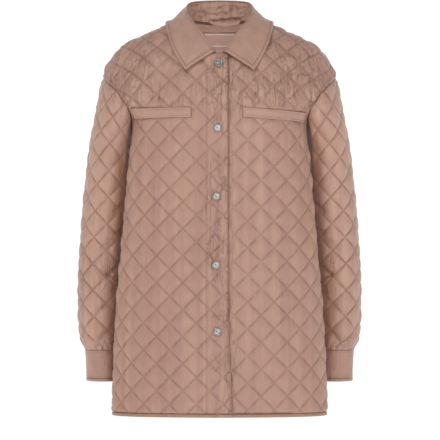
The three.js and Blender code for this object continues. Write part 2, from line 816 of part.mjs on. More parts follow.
// The armhole's curve from the shoulder's tip to the pit, on the front or the back
function armholePoint(turn, share) {
  const angle = Math.PI * share;
  const y = -turn * ARMHOLE_HALF_DEPTH * Math.sin(angle);
  const z = ARMHOLE_Z + ARMHOLE_HALF_HEIGHT * Math.cos(angle);
  return new THREE.Vector3(bodyWidthAt(z, y), y, z);
}

const RING_SHARE = new Map([1, -1].map((turn) => [turn, evenly((f) => armholePoint(turn, f))]));
const OVAL_SHARE = evenly((f) => new THREE.Vector3(Math.cos(Math.PI * f), 1.5 * Math.sin(Math.PI * f), 0));

function ringPoint(share) {
  const turn = share < 0 ? -1 : 1;
  const along = Math.min(Math.abs(share), 1);
  return armholePoint(turn, RING_SHARE.get(turn)(along));
}

function sleeveOval(share, z) {
  const form = sectionAt(SLEEVE, z);
  const angle = Math.PI * OVAL_SHARE(Math.min(Math.abs(share), 1)) * (share < 0 ? -1 : 1);
  const half = (form.outer - form.inner) / 2;
  return new THREE.Vector3(form.inner + half + half * Math.cos(angle),
    form.middle - form.depth * Math.sin(angle), z);
}

// Distance round the sleeve
function sleeveGirth(z) {
  const form = sectionAt(SLEEVE, z);
  const half = (form.outer - form.inner) / 2;
  return 2 * Math.PI * Math.sqrt((half ** 2 + form.depth ** 2) / 2);
}

function sleeveShare(u, z) {
  return u / (sleeveGirth(z) / 2);
}

// The sleeve's form: ovals that turn into the armhole's curve at the top
function sleevePoint(u, z) {
  const share = Math.min(Math.max(sleeveShare(u, z), -1), 1);
  const top = ringPoint(share);
  const move = top.clone().sub(sleeveOval(share, top.z));
  const fade = smooth(1 - (top.z - z) / SLEEVE_HEAD_BLEND);
  const point = sleeveOval(share, z).addScaledVector(move, fade);
  const facing = smooth((Math.abs(share) - 0.45) / 0.2);
  const clearance = Math.min((top.z - z) * SLEEVE_PARTING, SLEEVE_CLEARANCE);
  return pushedOut(point, facing * Math.max(clearance, 0) - 100 * (1 - facing));
}

const sleeveOwnSurface = surface(sleevePoint, true);

// Close to the armhole the sleeve's wall leans as the body's wall does
function sleeveSurface(place) {
  const inset = Math.sign(place.s) * Math.max(Math.abs(place.s) - sleeveGirth(place.z) / 2 + 2 * DELTA, 0);
  const { normal } = sleeveOwnSurface({ s: place.s - inset, z: place.z });
  const point = sleevePoint(place.s, place.z);
  const ring = ringPoint(sleeveShare(place.s, place.z));
  const { outward } = bodyDistance(ring);
  const agree = smooth((outward.dot(normal) - 0.3) / 0.4);
  const near = smooth(1 - (ring.z - place.z) / 30);
  normal.lerp(outward, agree * near).normalize();
  return { point, normal };
}

function sleevePuff(p) {
  const share = Math.abs(sleeveShare(p.s, p.z));
  return p.puff * (1 - 0.8 * smooth((share - 0.55) / 0.2));
}

function sleeveSheet() {
  const phase = QUILT_PHASE.sleeve;
  const sheet = quiltSheet(phase, -240, 240, CUFF_TOP_Z, -100, (s, distance) => phase.z + distance);
  const head = measured((u, z) => z - ringPoint(sleeveShare(u, z)).z);
  const cap = (u, z) => head(u, z) + SEAM_GAP / 2;
  const underarm = (u, z) => Math.abs(u) - sleeveGirth(z) / 2 + SEAM_GAP / 2;
  const wrist = (u, z) => CUFF_TOP_Z + SEAM_GAP - z;
  trim(sheet, wrist, "wrist");
  trim(sheet, underarm, "underarm");
  trim(sheet, cap, "cap");
  refine(sheet, "cap", cap);
  refine(sheet, "wrist", wrist);
  return sheet;
}

function sleeveGeometry() {
  const sheet = sleeveSheet();
  const gathers = boundary(sheet)
    .filter(({ from, to }) => sheet.points[from].wrist && sheet.points[to].wrist)
    .map(({ to }) => sheet.points[to])
    .sort((a, b) => a.s - b.s);
  gathers.forEach((p, k) => {
    p.gather = k % 2 === 0 ? 0 : 1.4;
  });
  return wallGeometry(sheet, sleeveSurface, true,
    (p) => PUFF * sleevePuff(p) + (p.gather || 0), () => -WALL);
}

// A closed ring of cloth between two heights of the sleeve's form
function cuffGeometry(bottom, top, outer, inner) {
  const positions = [];
  const index = [];
  for (let k = 0; k < RING_STEPS; k += 1) {
    const share = -1 + 2 * k / RING_STEPS;
    for (const [z, offset] of [[bottom, outer], [top, outer], [top, inner], [bottom, inner]]) {
      const half = sleeveGirth(z) / 2;
      const shift = Math.abs(share) === 1 ? 0.999 : 1;
      const { normal } = sleeveOwnSurface({ s: share * half * shift, z });
      normal.z = 0;
      const p = sleeveOval(share, z).addScaledVector(normal.normalize(), offset);
      positions.push(p.x, p.y, z);
    }
    const next = (k + 1) % RING_STEPS;
    for (let side = 0; side < 4; side += 1) {
      const a = 4 * k + side;
      const b = 4 * k + (side + 1) % 4;
      const c = 4 * next + (side + 1) % 4;
      const d = 4 * next + side;
      index.push(a, b, c, a, c, d);
    }
  }
  const geometry = new THREE.BufferGeometry();
  geometry.setAttribute("position", new THREE.Float32BufferAttribute(positions, 3));
  geometry.setIndex(index);
  geometry.computeVertexNormals();
  return geometry;
}

function addSleeves() {
  const pieces = [
    ["sleeve", sleeveGeometry(), NYLON],
    ["cuff", cuffGeometry(CUFF_BOTTOM_Z + CUFF_BINDING + SEAM_GAP, CUFF_TOP_Z, 0.6, -2.2), TRIM],
    ["cuff_binding", cuffGeometry(CUFF_BOTTOM_Z, CUFF_BOTTOM_Z + CUFF_BINDING, 1.1, -2.6), TRIM],
  ];
  for (const [name, geometry, look] of pieces) {
    addMesh(`${name}_left`, geometry, look);
    addMesh(`${name}_right`, mirrored(geometry), look);
  }
}

addSleeves();

// A line of the collar at a share of the way from the centre front to the centre back
function collarLine(name, share) {
  const rows = COLLAR.map((row) => ({ z: row.at, x: row[name][0], y: row[name][1], h: row[name][2] }));
  const { x, y, h } = sectionAt(rows, share);
  return new THREE.Vector3(x, y, h);
}

// The neck seam, from the centre front to the centre back
function neckSeam(share) {
  const back = share > 0.6;
  const f = back ? (1 - share) / 0.4 : share / 0.6;
  const x = 8 * (back ? 0 : 1 - f) + 64.4 * Math.sin(f * Math.PI / 2);
  const ratio = x / NECK_HALF_WIDTH;
  const z = back
    ? NECK_BACK_Z + (NECK_SIDE_Z - NECK_BACK_Z - 1) * ratio ** 2
    : NECK_FRONT_Z + (NECK_SIDE_Z - NECK_FRONT_Z) * ratio ** NECK_FRONT_POWER;
  const { form } = bodySlice(z);
  const power = back ? form.power : FRONT_POWER;
  const reach = (1 - Math.min(x / form.width, 1) ** power) ** (1 / power);
  const depth = (back ? form.back : -form.front) * reach;
  return new THREE.Vector3(x, form.middle + depth, z);
}

// Where the collar stand starts, just inside the neck seam
function standFoot(share) {
  const point = neckSeam(share);
  const before = neckSeam(Math.max(share - 0.01, 0));
  const after = neckSeam(Math.min(share + 0.01, 1));
  const { outward } = bodyDistance(point);
  const inward = after.sub(before).cross(outward).normalize();
  if (inward.z < 0) inward.negate();
  const raise = 1.6 * smooth(1 - Math.abs(share - 0.6) / 0.2);
  return point.addScaledVector(inward, PLAIN_WALL / 2 + SEAM_GAP + 0.15).addScaledVector(outward, raise);
}

function awayFromNeck(point) {
  return new THREE.Vector3(point.x, point.y + 12, 0).normalize();
}

// Round the collar, turn runs from -1 at the right front, through 0 at the back, to 1
function collarStandAt(turn, height) {
  const along = 1 - Math.abs(turn);
  const foot = standFoot(along);
  const fold = collarLine("fold", along);
  const point = foot.lerp(fold, height);
  point.addScaledVector(awayFromNeck(fold), -2.5 * Math.sin(Math.PI * height));
  if (turn < 0) point.x *= -1;
  return point;
}

// The collar's fall: a small roll over the stand, then a leaf down to its outer edge
const FALL_ROWS = [
  { at: 0, roll: 0, lift: 1.2, leaf: 0 },
  { at: 1, roll: 2.5, lift: 0.9, leaf: 0 },
  { at: 2, roll: 3.4, lift: 0, leaf: 0.08 },
  { at: 3, roll: 3.4, lift: 0, leaf: 0.34 },
  { at: 4, roll: 2.5, lift: 0, leaf: 0.64 },
  { at: 5, roll: 0.6, lift: 0, leaf: 0.92 },
  { at: 6, roll: 0, lift: 0, leaf: 1 },
];

function collarFallAt(turn, row) {
  const along = 1 - Math.abs(turn);
  const values = FALL_ROWS.map(({ at, ...rest }) => ({ z: at, ...rest }));
  const { roll, lift, leaf } = sectionAt(values, row);
  const fold = collarLine("fold", along);
  const point = fold.clone().lerp(collarLine("edge", along), leaf);
  point.addScaledVector(awayFromNeck(fold), roll);
  point.z += lift;
  if (row >= 1.5) {
    const near = smooth((72 - Math.abs(point.x)) / 24) * smooth((30 - point.y) / 40);
    const rest = COLLAR_REST + (COLLAR_REST_AT_PLACKET - COLLAR_REST) * near;
    point.copy(pushedOut(point, rest * smooth((row - 0.8) / 1.4)));
  }
  if (turn < 0) point.x *= -1;
  return point;
}

function gridSheet(columns, rows, from, to, bottom, top) {
  const points = [];
  const triangles = [];
  for (let j = 0; j <= rows; j += 1) {
    for (let i = 0; i <= columns; i += 1) {
      const s = from + (to - from) * i / columns;
      points.push({ s, z: bottom + (top - bottom) * j / rows, puff: 0, row: j });
    }
  }
  for (let j = 0; j < rows; j += 1) {
    for (let i = 0; i < columns; i += 1) {
      const a = j * (columns + 1) + i;
      const d = a + columns + 1;
      triangles.push([a, a + 1, d + 1], [a, d + 1, d]);
    }
  }
  return { points, triangles };
}

// A grid's point and normal, by steps that stay inside the grid
function gridSurface(at, stepS, stepZ, limits, turned) {
  return ({ s, z }) => {
    const sideways = at(Math.min(s + stepS, limits.to), z).sub(at(Math.max(s - stepS, limits.from), z));
    const upward = at(s, Math.min(z + stepZ, limits.top)).sub(at(s, Math.max(z - stepZ, limits.bottom)));
    const normal = sideways.cross(upward).normalize();
    return { point: at(s, z), normal: turned ? normal.negate() : normal };
  };
}

function addCollar() {
  const limits = { from: -1, to: 1, bottom: 0, top: 1 };
  const half = PLAIN_WALL / 2;
  const stand = gridSheet(COLLAR_STEPS, 2, -1, 1, 0, 1);
  addMesh("collar_stand", wallGeometry(stand, gridSurface(collarStandAt, 0.02, 0.1, limits, true), true,
    () => half, () => -half), TRIM);
  const rows = FALL_ROWS.length - 1;
  const fall = gridSheet(COLLAR_STEPS, rows, -1, 1, 0, rows);
  const edge = (p) => (p.row >= rows - 1 ? 0.5 : 0);
  addMesh("collar_fall", wallGeometry(fall,
    gridSurface(collarFallAt, 0.02, 0.3, { ...limits, top: rows }, false), false,
    (p) => half + edge(p), () => -half), TRIM);
}

addCollar();

// Hanger loop: a soft strip whose two ends sit at the back neck seam
function addHanger() {
  const at = (s, z) => {
    const f = (s - HANGER.from) / (HANGER.to - HANGER.from);
    const hang = Math.sin(Math.PI * f) ** 0.5;
    const foot = standFoot(1 - 0.4 * Math.asin(Math.min(Math.abs(s), 64) / 64.4) / (Math.PI / 2));
    const y = foot.y - PLAIN_WALL - 2 - HANGER.reach * hang;
    return new THREE.Vector3(s, y, HANGER.ends_z - HANGER.dip * hang + z);
  };
  const strip = gridSheet(14, 1, HANGER.from, HANGER.to, -HANGER.width / 2, HANGER.width / 2);
  const limits = { from: HANGER.from, to: HANGER.to, bottom: -HANGER.width / 2, top: HANGER.width / 2 };
  addMesh("hanger_loop", wallGeometry(strip, gridSurface(at, 1, 1, limits, false), false,
    () => 0.6, () => -0.6), TRIM);
}

addHanger();

// Height of the right front's outer face above its form, near a point
function reliefNear(s, z, radius) {
  const { points, triangles } = rightSheet;
  let highest = 0;
  for (const [i, j, k] of triangles) {
    const [a, b, c] = [points[i], points[j], points[k]];
    for (let step = 0; step <= 12; step += 1) {
      const reach = step === 12 ? 0 : radius;
      const x = s + reach * Math.cos(Math.PI * step / 6);
      const y = z + reach * Math.sin(Math.PI * step / 6);
      const area = (b.s - a.s) * (c.z - a.z) - (c.s - a.s) * (b.z - a.z);
      const u = ((b.s - x) * (c.z - y) - (c.s - x) * (b.z - y)) / area;
      const v = ((c.s - x) * (a.z - y) - (a.s - x) * (c.z - y)) / area;
      if (u < 0 || v < 0 || u + v > 1) continue;
      highest = Math.max(highest, PUFF * (u * a.puff + v * b.puff + (1 - u - v) * c.puff));
    }
  }
  return highest;
}

// Snaps: round metal caps with a rolled rim, on the placket
function addSnaps() {
  const profile = [
    [0, 0], [SNAP_RADIUS - 0.4, 0], [SNAP_RADIUS, 0.6], [SNAP_RADIUS - 0.4, 1.9],
    [SNAP_RADIUS - 1.5, 2.5], [SNAP_RADIUS - 2.6, 1.7], [0, 1.5],
  ].map(([x, y]) => new THREE.Vector2(x, y));
  SNAPS.forEach(({ s, z }, k) => {
    const { point, normal } = frontSurface({ s, z });
    const seat = placketLift(s) + reliefNear(s, z, SNAP_RADIUS) + SEAM_GAP;
    const mesh = addMesh(`snap_${k + 1}`, new THREE.LatheGeometry(profile, SNAP_SIDES), METAL);
    mesh.position.copy(point.addScaledVector(normal, seat));
    mesh.quaternion.setFromUnitVectors(new THREE.Vector3(0, 1, 0), normal);
  });
}

addSnaps();

export default jacket;
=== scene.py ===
# Looks of the quilted jacket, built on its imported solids.
# Lengths are in millimetres in the forms below and in metres once they become meshes.
# The front faces -Y, +Z is up, and right and left are the wearer's.
import functools
import math

import bpy
import numpy as np
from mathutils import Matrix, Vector


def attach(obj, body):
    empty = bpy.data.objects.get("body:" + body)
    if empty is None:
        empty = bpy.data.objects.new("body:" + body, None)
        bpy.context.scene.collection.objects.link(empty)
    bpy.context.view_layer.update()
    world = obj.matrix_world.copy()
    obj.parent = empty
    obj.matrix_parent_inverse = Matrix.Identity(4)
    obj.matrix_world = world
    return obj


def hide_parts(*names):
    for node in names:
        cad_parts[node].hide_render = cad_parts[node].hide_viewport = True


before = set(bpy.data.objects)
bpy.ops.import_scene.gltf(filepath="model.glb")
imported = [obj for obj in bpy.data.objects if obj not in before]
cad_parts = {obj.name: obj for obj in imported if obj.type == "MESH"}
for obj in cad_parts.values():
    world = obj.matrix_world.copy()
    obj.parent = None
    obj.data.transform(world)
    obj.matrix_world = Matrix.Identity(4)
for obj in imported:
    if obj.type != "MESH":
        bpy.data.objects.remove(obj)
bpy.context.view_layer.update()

MM = 0.001

# Cloth
WALL = 2.4
PLAIN_WALL = 1.6
LEAST_FLAT = 0.0101
CELL = 24.5
FINE = 8
STEP = CELL / FINE
PUFF = 3.3
PUFF_POWER = 0.55
INNER_PUFF = 1.2

# Heights of the main lines
HEM_Z = -724
HEM_BINDING = 6.3
CUFF_TOP_Z = -607.8
CUFF_BOTTOM_Z = -665
CUFF_BINDING = 6
TOP_Z = 20

ARMHOLE_Z = -148.5
ARMHOLE_HALF_HEIGHT = 43.5
ARMHOLE_HALF_DEPTH = 85

NECK_HALF_WIDTH = 65
NECK_FRONT_Z = -61
NECK_FRONT_EASE = 2
NECK_SIDE_Z = 8
NECK_BACK_Z = 1
NECK_FRONT_POWER = 2.2

PLACKET_EDGE = 16.9
PLACKET_EDGE_AT_HEM = 23.6
PLACKET_FLARE_Z = -540
PLACKET_SEAM = -22.5
PLACKET_LIFT = WALL + 1
PLACKET_RISE = 26
UNDERLAP = -16
PLACKET_MARGIN = 2.4

# One crossing of the stitch lines on each panel
QUILT_PHASE = {
    "front_right": (-91, -406),
    "front_left": (75.5, -441),
    "back": (0, -417),
    "sleeve": (88, -226),
}


def columns(names, rows):
    values = np.array(rows, float)
    return {name: values[:, k] for k, name in enumerate(names)}


BODY = columns(("z", "width", "middle", "front", "back", "power"), [
    (-729, 197, -40, 88, 166, 2.1),
    (-533, 189, -40, 84, 160, 2.1),
    (-407, 178, -40, 81, 155, 2.1),
    (-329, 171, -40, 81, 152, 2.1),
    (-255, 165, -40, 82, 154, 2.1),
    (-220, 162, -40, 82, 156, 2.15),
    (-192, 161, -37, 85, 155, 2.25),
    (-179, 167, -32, 90, 151, 2.4),
    (-165, 188, -26, 96, 145, 2.6),
    (-148, 215, -20, 101, 140, 2.9),
    (-130, 225, -12, 106, 130, 2.9),
    (-118, 223, -6, 109, 122, 2.8),
    (-105, 215, 0, 112, 114, 2.7),
    (-85, 208, 0, 104, 110, 2.5),
    (-68, 198, 0, 95, 104, 2.4),
    (-47, 179, 0, 81, 95, 2.3),
    (-31, 151, 0, 67, 86, 2.3),
    (-8, 98, 0, 44, 67, 2.3),
    (9, 60, 0, 24, 42, 2.3),
    (20, 34, 0, 10, 22, 2.3),
])
FRONT_POWER = 2.3

SLEEVE = columns(("z", "outer", "inner", "middle", "depth"), [
    (-665, 247, 185, 45, 45),
    (-607, 250, 185, 46, 48),
    (-585, 257, 186, 47, 52),
    (-550, 260, 185, 49, 54),
    (-479, 261, 179, 49, 57),
    (-403, 257, 173, 47, 60),
    (-329, 251, 166, 43, 63),
    (-255, 243, 163, 34, 68),
    (-218, 238, 162, 24, 73),
    (-190, 232, 159, 14, 79),
    (-150, 226, 146, 5, 85),
    (-105, 219, 140, 2, 85),
])
SLEEVE_HEAD_BLEND = 110
SLEEVE_CLEARANCE = 4
SLEEVE_PARTING = 0.25

WELTS = {
    "right": {"side": -1, "inner": 51, "outer": 167, "inner_z": -160.5, "outer_z": -161.5, "height": 20},
    "left": {"side": 1, "inner": 42, "outer": 166, "inner_z": -160.5, "outer_z": -169, "height": 19},
}

# Collar lines on the +X side, from the centre front to the centre back
COLLAR = columns(("z", "fold_x", "fold_y", "fold_z", "edge_x", "edge_y", "edge_z"), [
    (0, 7, -93, -61, 62, -110, -96),
    (0.12, 19, -83, -43, 70, -104, -84),
    (0.26, 34, -66, -21.5, 81, -92, -65),
    (0.4, 47, -45, -4, 90, -68, -45),
    (0.52, 55, -24, 11.5, 95, -38, -24),
    (0.64, 57.5, 0, 26, 96, 0, -6),
    (0.76, 53, 24, 35.6, 84, 44, -8),
    (0.88, 32, 44, 40, 48, 73, -12),
    (1, 0, 51, 41.4, 0, 82, -14),
])
FALL = columns(("z", "roll", "lift", "leaf"), [
    (0, 0, 1.2, 0),
    (1, 2.5, 0.9, 0),
    (2, 3.4, 0, 0.08),
    (3, 3.4, 0, 0.34),
    (4, 2.5, 0, 0.64),
    (5, 0.6, 0, 0.92),
    (6, 0, 0, 1),
])
COLLAR_REST = 5.8
COLLAR_REST_AT_PLACKET = 9.2

FACING = {"half_width": 70, "bottom_z": -76}
LABEL = {"from": -33, "to": 42, "top_z": -12, "bottom_z": -40}
FACING_WALL = 1.2
LABEL_WALL = 1
HANGER = {"from": -19, "to": 39, "ends_z": 6, "dip": 8, "width": 7, "reach": 7}

SNAP_RADIUS = 7.5
SNAPS = [(-1.5, -82.8), (-3.5, -199), (-5.6, -323), (-6.2, -447.8), (-4.2, -568.4)]


# Smooth values and noise
def smooth(value):
    f = np.clip(value, 0, 1)
    return f * f * (3 - 2 * f)


def bell(value, width):
    """1 at 0, falling away on both sides."""
    return np.exp(-(value / width) ** 2)


def smooth_table(table, at):
    knots = table["z"]
    at = np.clip(at, knots[0], knots[-1])
    k = np.clip(np.searchsorted(knots, at) - 1, 0, len(knots) - 2)
    span = knots[k + 1] - knots[k]
    f = (at - knots[k]) / span
    result = {}
    for name, v in table.items():
        if name == "z":
            continue
        slope = np.empty_like(v)
        slope[1:-1] = (v[2:] - v[:-2]) / (knots[2:] - knots[:-2])
        slope[0] = (v[1] - v[0]) / (knots[1] - knots[0])
        slope[-1] = (v[-1] - v[-2]) / (knots[-1] - knots[-2])
        result[name] = (
            (2 * f**3 - 3 * f**2 + 1) * v[k]
            + (f**3 - 2 * f**2 + f) * span * slope[k]
            + (3 * f**2 - 2 * f**3) * v[k + 1]
            + (f**3 - f**2) * span * slope[k + 1]
        )
    return result


NOISE_SIZE = 128
NOISE_SHIFT = 40


def noise(x, y, seed):
    """Soft noise from -1 to 1 over two coordinates."""
    values = np.random.default_rng(seed).uniform(-1, 1, (NOISE_SIZE, NOISE_SIZE))
    x0 = np.floor(x).astype(int)
    y0 = np.floor(y).astype(int)
    fx = smooth(x - x0)
    fy = smooth(y - y0)
    x1 = (x0 + 1) % NOISE_SIZE
    y1 = (y0 + 1) % NOISE_SIZE
    x0 = x0 % NOISE_SIZE
    y0 = y0 % NOISE_SIZE
    low = values[y0, x0] * (1 - fx) + values[y0, x1] * fx
    high = values[y1, x0] * (1 - fx) + values[y1, x1] * fx
    return low * (1 - fy) + high * fy


def ripples(s, z, wide, tall, seed):
    """Soft noise over a cloth, whose swells are this wide and tall."""
    return noise(s / wide + NOISE_SHIFT, z / tall + NOISE_SHIFT, seed)


def bilinear(table, row, column):
    """Reads a table between its whole rows and columns."""
    k = row.astype(int)
    m = column.astype(int)
    f = row - k
    g = column - m
    low = table[k, m] * (1 - g) + table[k, m + 1] * g
    high = table[k + 1, m] * (1 - g) + table[k + 1, m + 1] * g
    return low * (1 - f) + high * f


def unit(v):
    return v / np.maximum(np.linalg.norm(v, axis=-1, keepdims=True), 1e-9)


def raised(points, normals, amount):
    return points + normals * amount[..., None]


def metres(length, places=3):
    return round(float(length) * MM, places)


def vec(x, y, z):
    return np.stack(np.broadcast_arrays(x, y, z), axis=-1).astype(float)


# The body's form
LEVELS = np.arange(HEM_Z - 1, TOP_Z + 0.5, 1.0)
ARC_SAMPLES = 288
SHARES = 721


def body_tables():
    form = smooth_table(BODY, LEVELS)
    angle = np.pi * np.arange(ARC_SAMPLES + 1) / ARC_SAMPLES
    back = angle > np.pi / 2
    power = np.where(back, form["power"][:, None], FRONT_POWER)
    depth = np.where(back, form["back"][:, None], form["front"][:, None])
    sine = np.abs(np.sin(angle))
    cosine = np.cos(angle)
    x = form["width"][:, None] * sine ** (2 / power)
    y = form["middle"][:, None] - np.sign(cosine) * depth * np.abs(cosine) ** (2 / power)
    steps = np.hypot(np.diff(x, axis=1), np.diff(y, axis=1))
    arc = np.concatenate([np.zeros((len(LEVELS), 1)), np.cumsum(steps, axis=1)], axis=1)
    share = np.linspace(0, 1, SHARES)
    xs = np.array([np.interp(share, a / a[-1], row) for a, row in zip(arc, x)])
    ys = np.array([np.interp(share, a / a[-1], row) for a, row in zip(arc, y)])
    return xs, ys, arc[:, -1]


SLICE_X, SLICE_Y, SLICE_TOTAL = body_tables()


def body_point(back, s, z):
    """A point of the body at an arc s from the centre, on the front or the back."""
    s, z = np.broadcast_arrays(np.asarray(s, float), np.asarray(z, float))
    level = np.clip(z - LEVELS[0], 0, len(LEVELS) - 1.001)
    k = level.astype(int)
    f = level - k
    total = SLICE_TOTAL[k] * (1 - f) + SLICE_TOTAL[k + 1] * f
    arc = total - np.abs(s) if back else np.abs(s)
    place = np.clip(arc / total, 0, 1) * (SHARES - 1.001)
    x = bilinear(SLICE_X, level, place) * np.where(s < 0, -1, 1)
    return vec(x, bilinear(SLICE_Y, level, place), z)


def body_form(z, y):
    """The form at a height, with the power and depth of its front or back half."""
    form = smooth_table(BODY, z)
    behind = y > form["middle"]
    power = np.where(behind, form["power"], FRONT_POWER)
    return form, power, np.where(behind, form["back"], form["front"])


def body_width(z, y):
    form, power, depth = body_form(z, y)
    ratio = np.minimum(np.abs(y - form["middle"]) / depth, 1)
    return form["width"] * (1 - ratio**power) ** (1 / power)


def body_radius(p):
    form, power, depth = body_form(p[..., 2], p[..., 1])
    across = (np.abs(p[..., 0]) / form["width"]) ** power
    along = (np.abs(p[..., 1] - form["middle"]) / depth) ** power
    return (across + along) ** (1 / power)


def body_distance(p):
    delta = 0.6
    here = body_radius(p)
    gradient = np.stack([
        (body_radius(p + step) - body_radius(p - step)) / (2 * delta)
        for step in np.eye(3) * delta
    ], axis=-1)
    steepness = np.maximum(np.linalg.norm(gradient, axis=-1), 1e-9)
    return (here - 1) / steepness, gradient / steepness[..., None]


def pushed_out(p, clearance):
    p = p.copy()
    for _ in range(5):
        distance, outward = body_distance(p)
        move = np.where(p[..., 2] > TOP_Z - 2, 0, np.maximum(clearance - distance, 0) * 0.8)
        p += outward * move[..., None]
    return p


def body_surface(back):
    def place(s, z):
        point = body_point(back, s, z)
        return point, body_distance(point)[1]
    return place


front_surface = body_surface(False)
back_surface = body_surface(True)


# Lengths up the body's columns, which the quilting follows over the chest
COLUMN_STEP = 6
COLUMN_Z = np.arange(HEM_Z - 60, TOP_Z + 40 + 1, COLUMN_STEP, dtype=float)
COLUMN_S = np.arange(0, 336.1, STEP)


def column_lengths(back):
    s, z = np.meshgrid(COLUMN_S, COLUMN_Z, indexing="ij")
    points = body_point(back, s, np.clip(z, HEM_Z, TOP_Z))
    points[..., 2] = z
    steps = np.linalg.norm(np.diff(points, axis=1), axis=-1)
    steps = np.minimum(steps, 2 * COLUMN_STEP)
    return np.concatenate([np.zeros((len(COLUMN_S), 1)), np.cumsum(steps, axis=1)], axis=1)


COLUMN_LENGTH = {back: column_lengths(back) for back in (False, True)}


def length_at(back, s, z):
    """Length up the column at arc s, from the lowest column height to z."""
    column = np.clip(np.abs(s) / STEP, 0, len(COLUMN_S) - 1.001)
    row = np.clip((z - COLUMN_Z[0]) / COLUMN_STEP, 0, len(COLUMN_Z) - 1.001)
    return bilinear(COLUMN_LENGTH[back].T, row, column)


def row_heights(back, s, distances, start):
    """Heights of the lattice rows on each column s: one row of the result for each column."""
    lengths = length_at(back, s[:, None], COLUMN_Z[None, :])
    starts = length_at(back, s, np.full(len(s), float(start)))
    return np.array([
        np.interp(begin + distances, row, COLUMN_Z) for begin, row in zip(starts, lengths)
    ])


# Cutting lines: each is positive where the cloth is cut away
def measured(value):
    delta = 0.4

    def line(s, z):
        ds = (value(s + delta, z) - value(s - delta, z)) / (2 * delta)
        dz = (value(s, z + delta) - value(s, z - delta)) / (2 * delta)
        return value(s, z) / np.maximum(np.hypot(ds, dz), 1e-6)
    return line


def side_seam(back):
    turn = -1 if back else 1
    return lambda s, z: body_point(back, s, z)[..., 1] * turn


def armhole(back):
    def value(s, z):
        y = body_point(back, s, z)[..., 1]
        return 1 - np.hypot(y / ARMHOLE_HALF_DEPTH, (z - ARMHOLE_Z) / ARMHOLE_HALF_HEIGHT)
    return measured(value)


def neckline(back):
    def value(s, z):
        ratio = np.abs(body_point(back, s, z)[..., 0]) / NECK_HALF_WIDTH
        lowest = NECK_FRONT_Z - NECK_FRONT_EASE
        front = lowest + (NECK_SIDE_Z - lowest) * ratio**NECK_FRONT_POWER
        rear = NECK_BACK_Z + (NECK_SIDE_Z - NECK_BACK_Z - 1) * ratio**2
        return z - (rear if back else front)
    return measured(value)


def placket_edge(z):
    flare = np.maximum(0, (PLACKET_FLARE_Z - z) / (PLACKET_FLARE_Z - HEM_Z))
    return PLACKET_EDGE + (PLACKET_EDGE_AT_HEM - PLACKET_EDGE) * flare


def placket_lift(s):
    return PLACKET_LIFT * smooth((s - PLACKET_SEAM + PLACKET_RISE) / PLACKET_RISE)


# Flat sheets of quilting
class Sheet:
    """Points with arc s and height z, lattice numbers i and j, and triangles."""

    def __init__(self, s, z, i, j, triangles):
        self.s = s
        self.z = z
        self.i = i
        self.j = j
        self.triangles = triangles
        self.held = []
        self.edge = np.full(len(s), 1e3)


def quilt_sheet(phase, span, height_range, rows_at):
    """A lattice of points whose triangles never cross a stitch line."""
    first, last = (math.floor((v - phase[0]) / STEP) for v in span)
    lowest, highest = (math.floor((v - phase[1]) / STEP) for v in height_range)
    i = np.arange(first, last + 1)
    j = np.arange(lowest, highest + 1)
    s = phase[0] + i * STEP
    z = rows_at(s, j * STEP)
    ii, jj = np.meshgrid(i, j, indexing="ij")
    wide = len(j)
    a = (np.arange(len(i) - 1)[:, None] * wide + np.arange(wide - 1)[None, :]).ravel()
    b = a + wide
    c = b + 1
    d = a + 1
    ia = ii[:-1, :-1].ravel()
    ja = jj[:-1, :-1].ravel()
    falling = (ia + ja + 1) % (2 * FINE) == 0
    falling |= ((ia - ja) % (2 * FINE) != 0) & ((ia + ja) % 2 == 1)
    one = np.where(falling[:, None], np.stack([a, b, d], 1), np.stack([a, b, c], 1))
    two = np.where(falling[:, None], np.stack([b, c, d], 1), np.stack([a, c, d], 1))
    return Sheet(
        np.repeat(s, wide), z.ravel(), ii.ravel(), jj.ravel(), np.concatenate([one, two])
    )


def slide(sheet, chosen, line):
    """Moves the chosen points onto a line along its steepest direction."""
    delta = 0.4
    s = sheet.s[chosen]
    z = sheet.z[chosen]
    value = line(s, z)
    ds = (line(s + delta, z) - line(s - delta, z)) / (2 * delta)
    dz = (line(s, z + delta) - line(s, z - delta)) / (2 * delta)
    slope = np.maximum(ds**2 + dz**2, 1e-6)
    sheet.s[chosen] = s - value * ds / slope
    sheet.z[chosen] = z - value * dz / slope


def trim(sheet, line, soft=True):
    """Cuts the sheet along a line; the points next to the cut slide onto it."""
    reach = 0.4 * STEP
    value = line(sheet.s, sheet.z)
    sheet.triangles = sheet.triangles[(value < -reach)[sheet.triangles].any(axis=1)]
    used = np.zeros(len(sheet.s), bool)
    used[sheet.triangles] = True
    moved = used & (value > -reach)
    for _ in range(8):
        slide(sheet, moved, line)
        for other, mask in sheet.held:
            both = moved & mask
            if both.any():
                slide(sheet, both, other)
    sheet.held.append((line, moved))
    if soft:
        sheet.edge = np.minimum(sheet.edge, np.where(moved, 0, -value))


def compact(sheet):
    used, index = np.unique(sheet.triangles, return_inverse=True)
    for name in ("s", "z", "i", "j", "edge"):
        setattr(sheet, name, getattr(sheet, name)[used])
    sheet.triangles = index.reshape(-1, 3)
    return sheet


def rim_edges(triangles):
    """Directed edges that only one triangle has."""
    edges = np.concatenate([triangles[:, [0, 1]], triangles[:, [1, 2]], triangles[:, [2, 0]]])
    size = int(triangles.max()) + 1
    key = edges[:, 0] * size + edges[:, 1]
    reverse = edges[:, 1] * size + edges[:, 0]
    return edges[~np.isin(key, reverse)]


# Meshes
def store(mesh, name, values):
    layer = mesh.attributes.new(name, "FLOAT", "POINT")
    layer.data.foreach_set("value", values.astype(np.float32))


def link_object(name, data):
    obj = bpy.data.objects.new(name, data)
    bpy.context.scene.collection.objects.link(obj)
    return obj


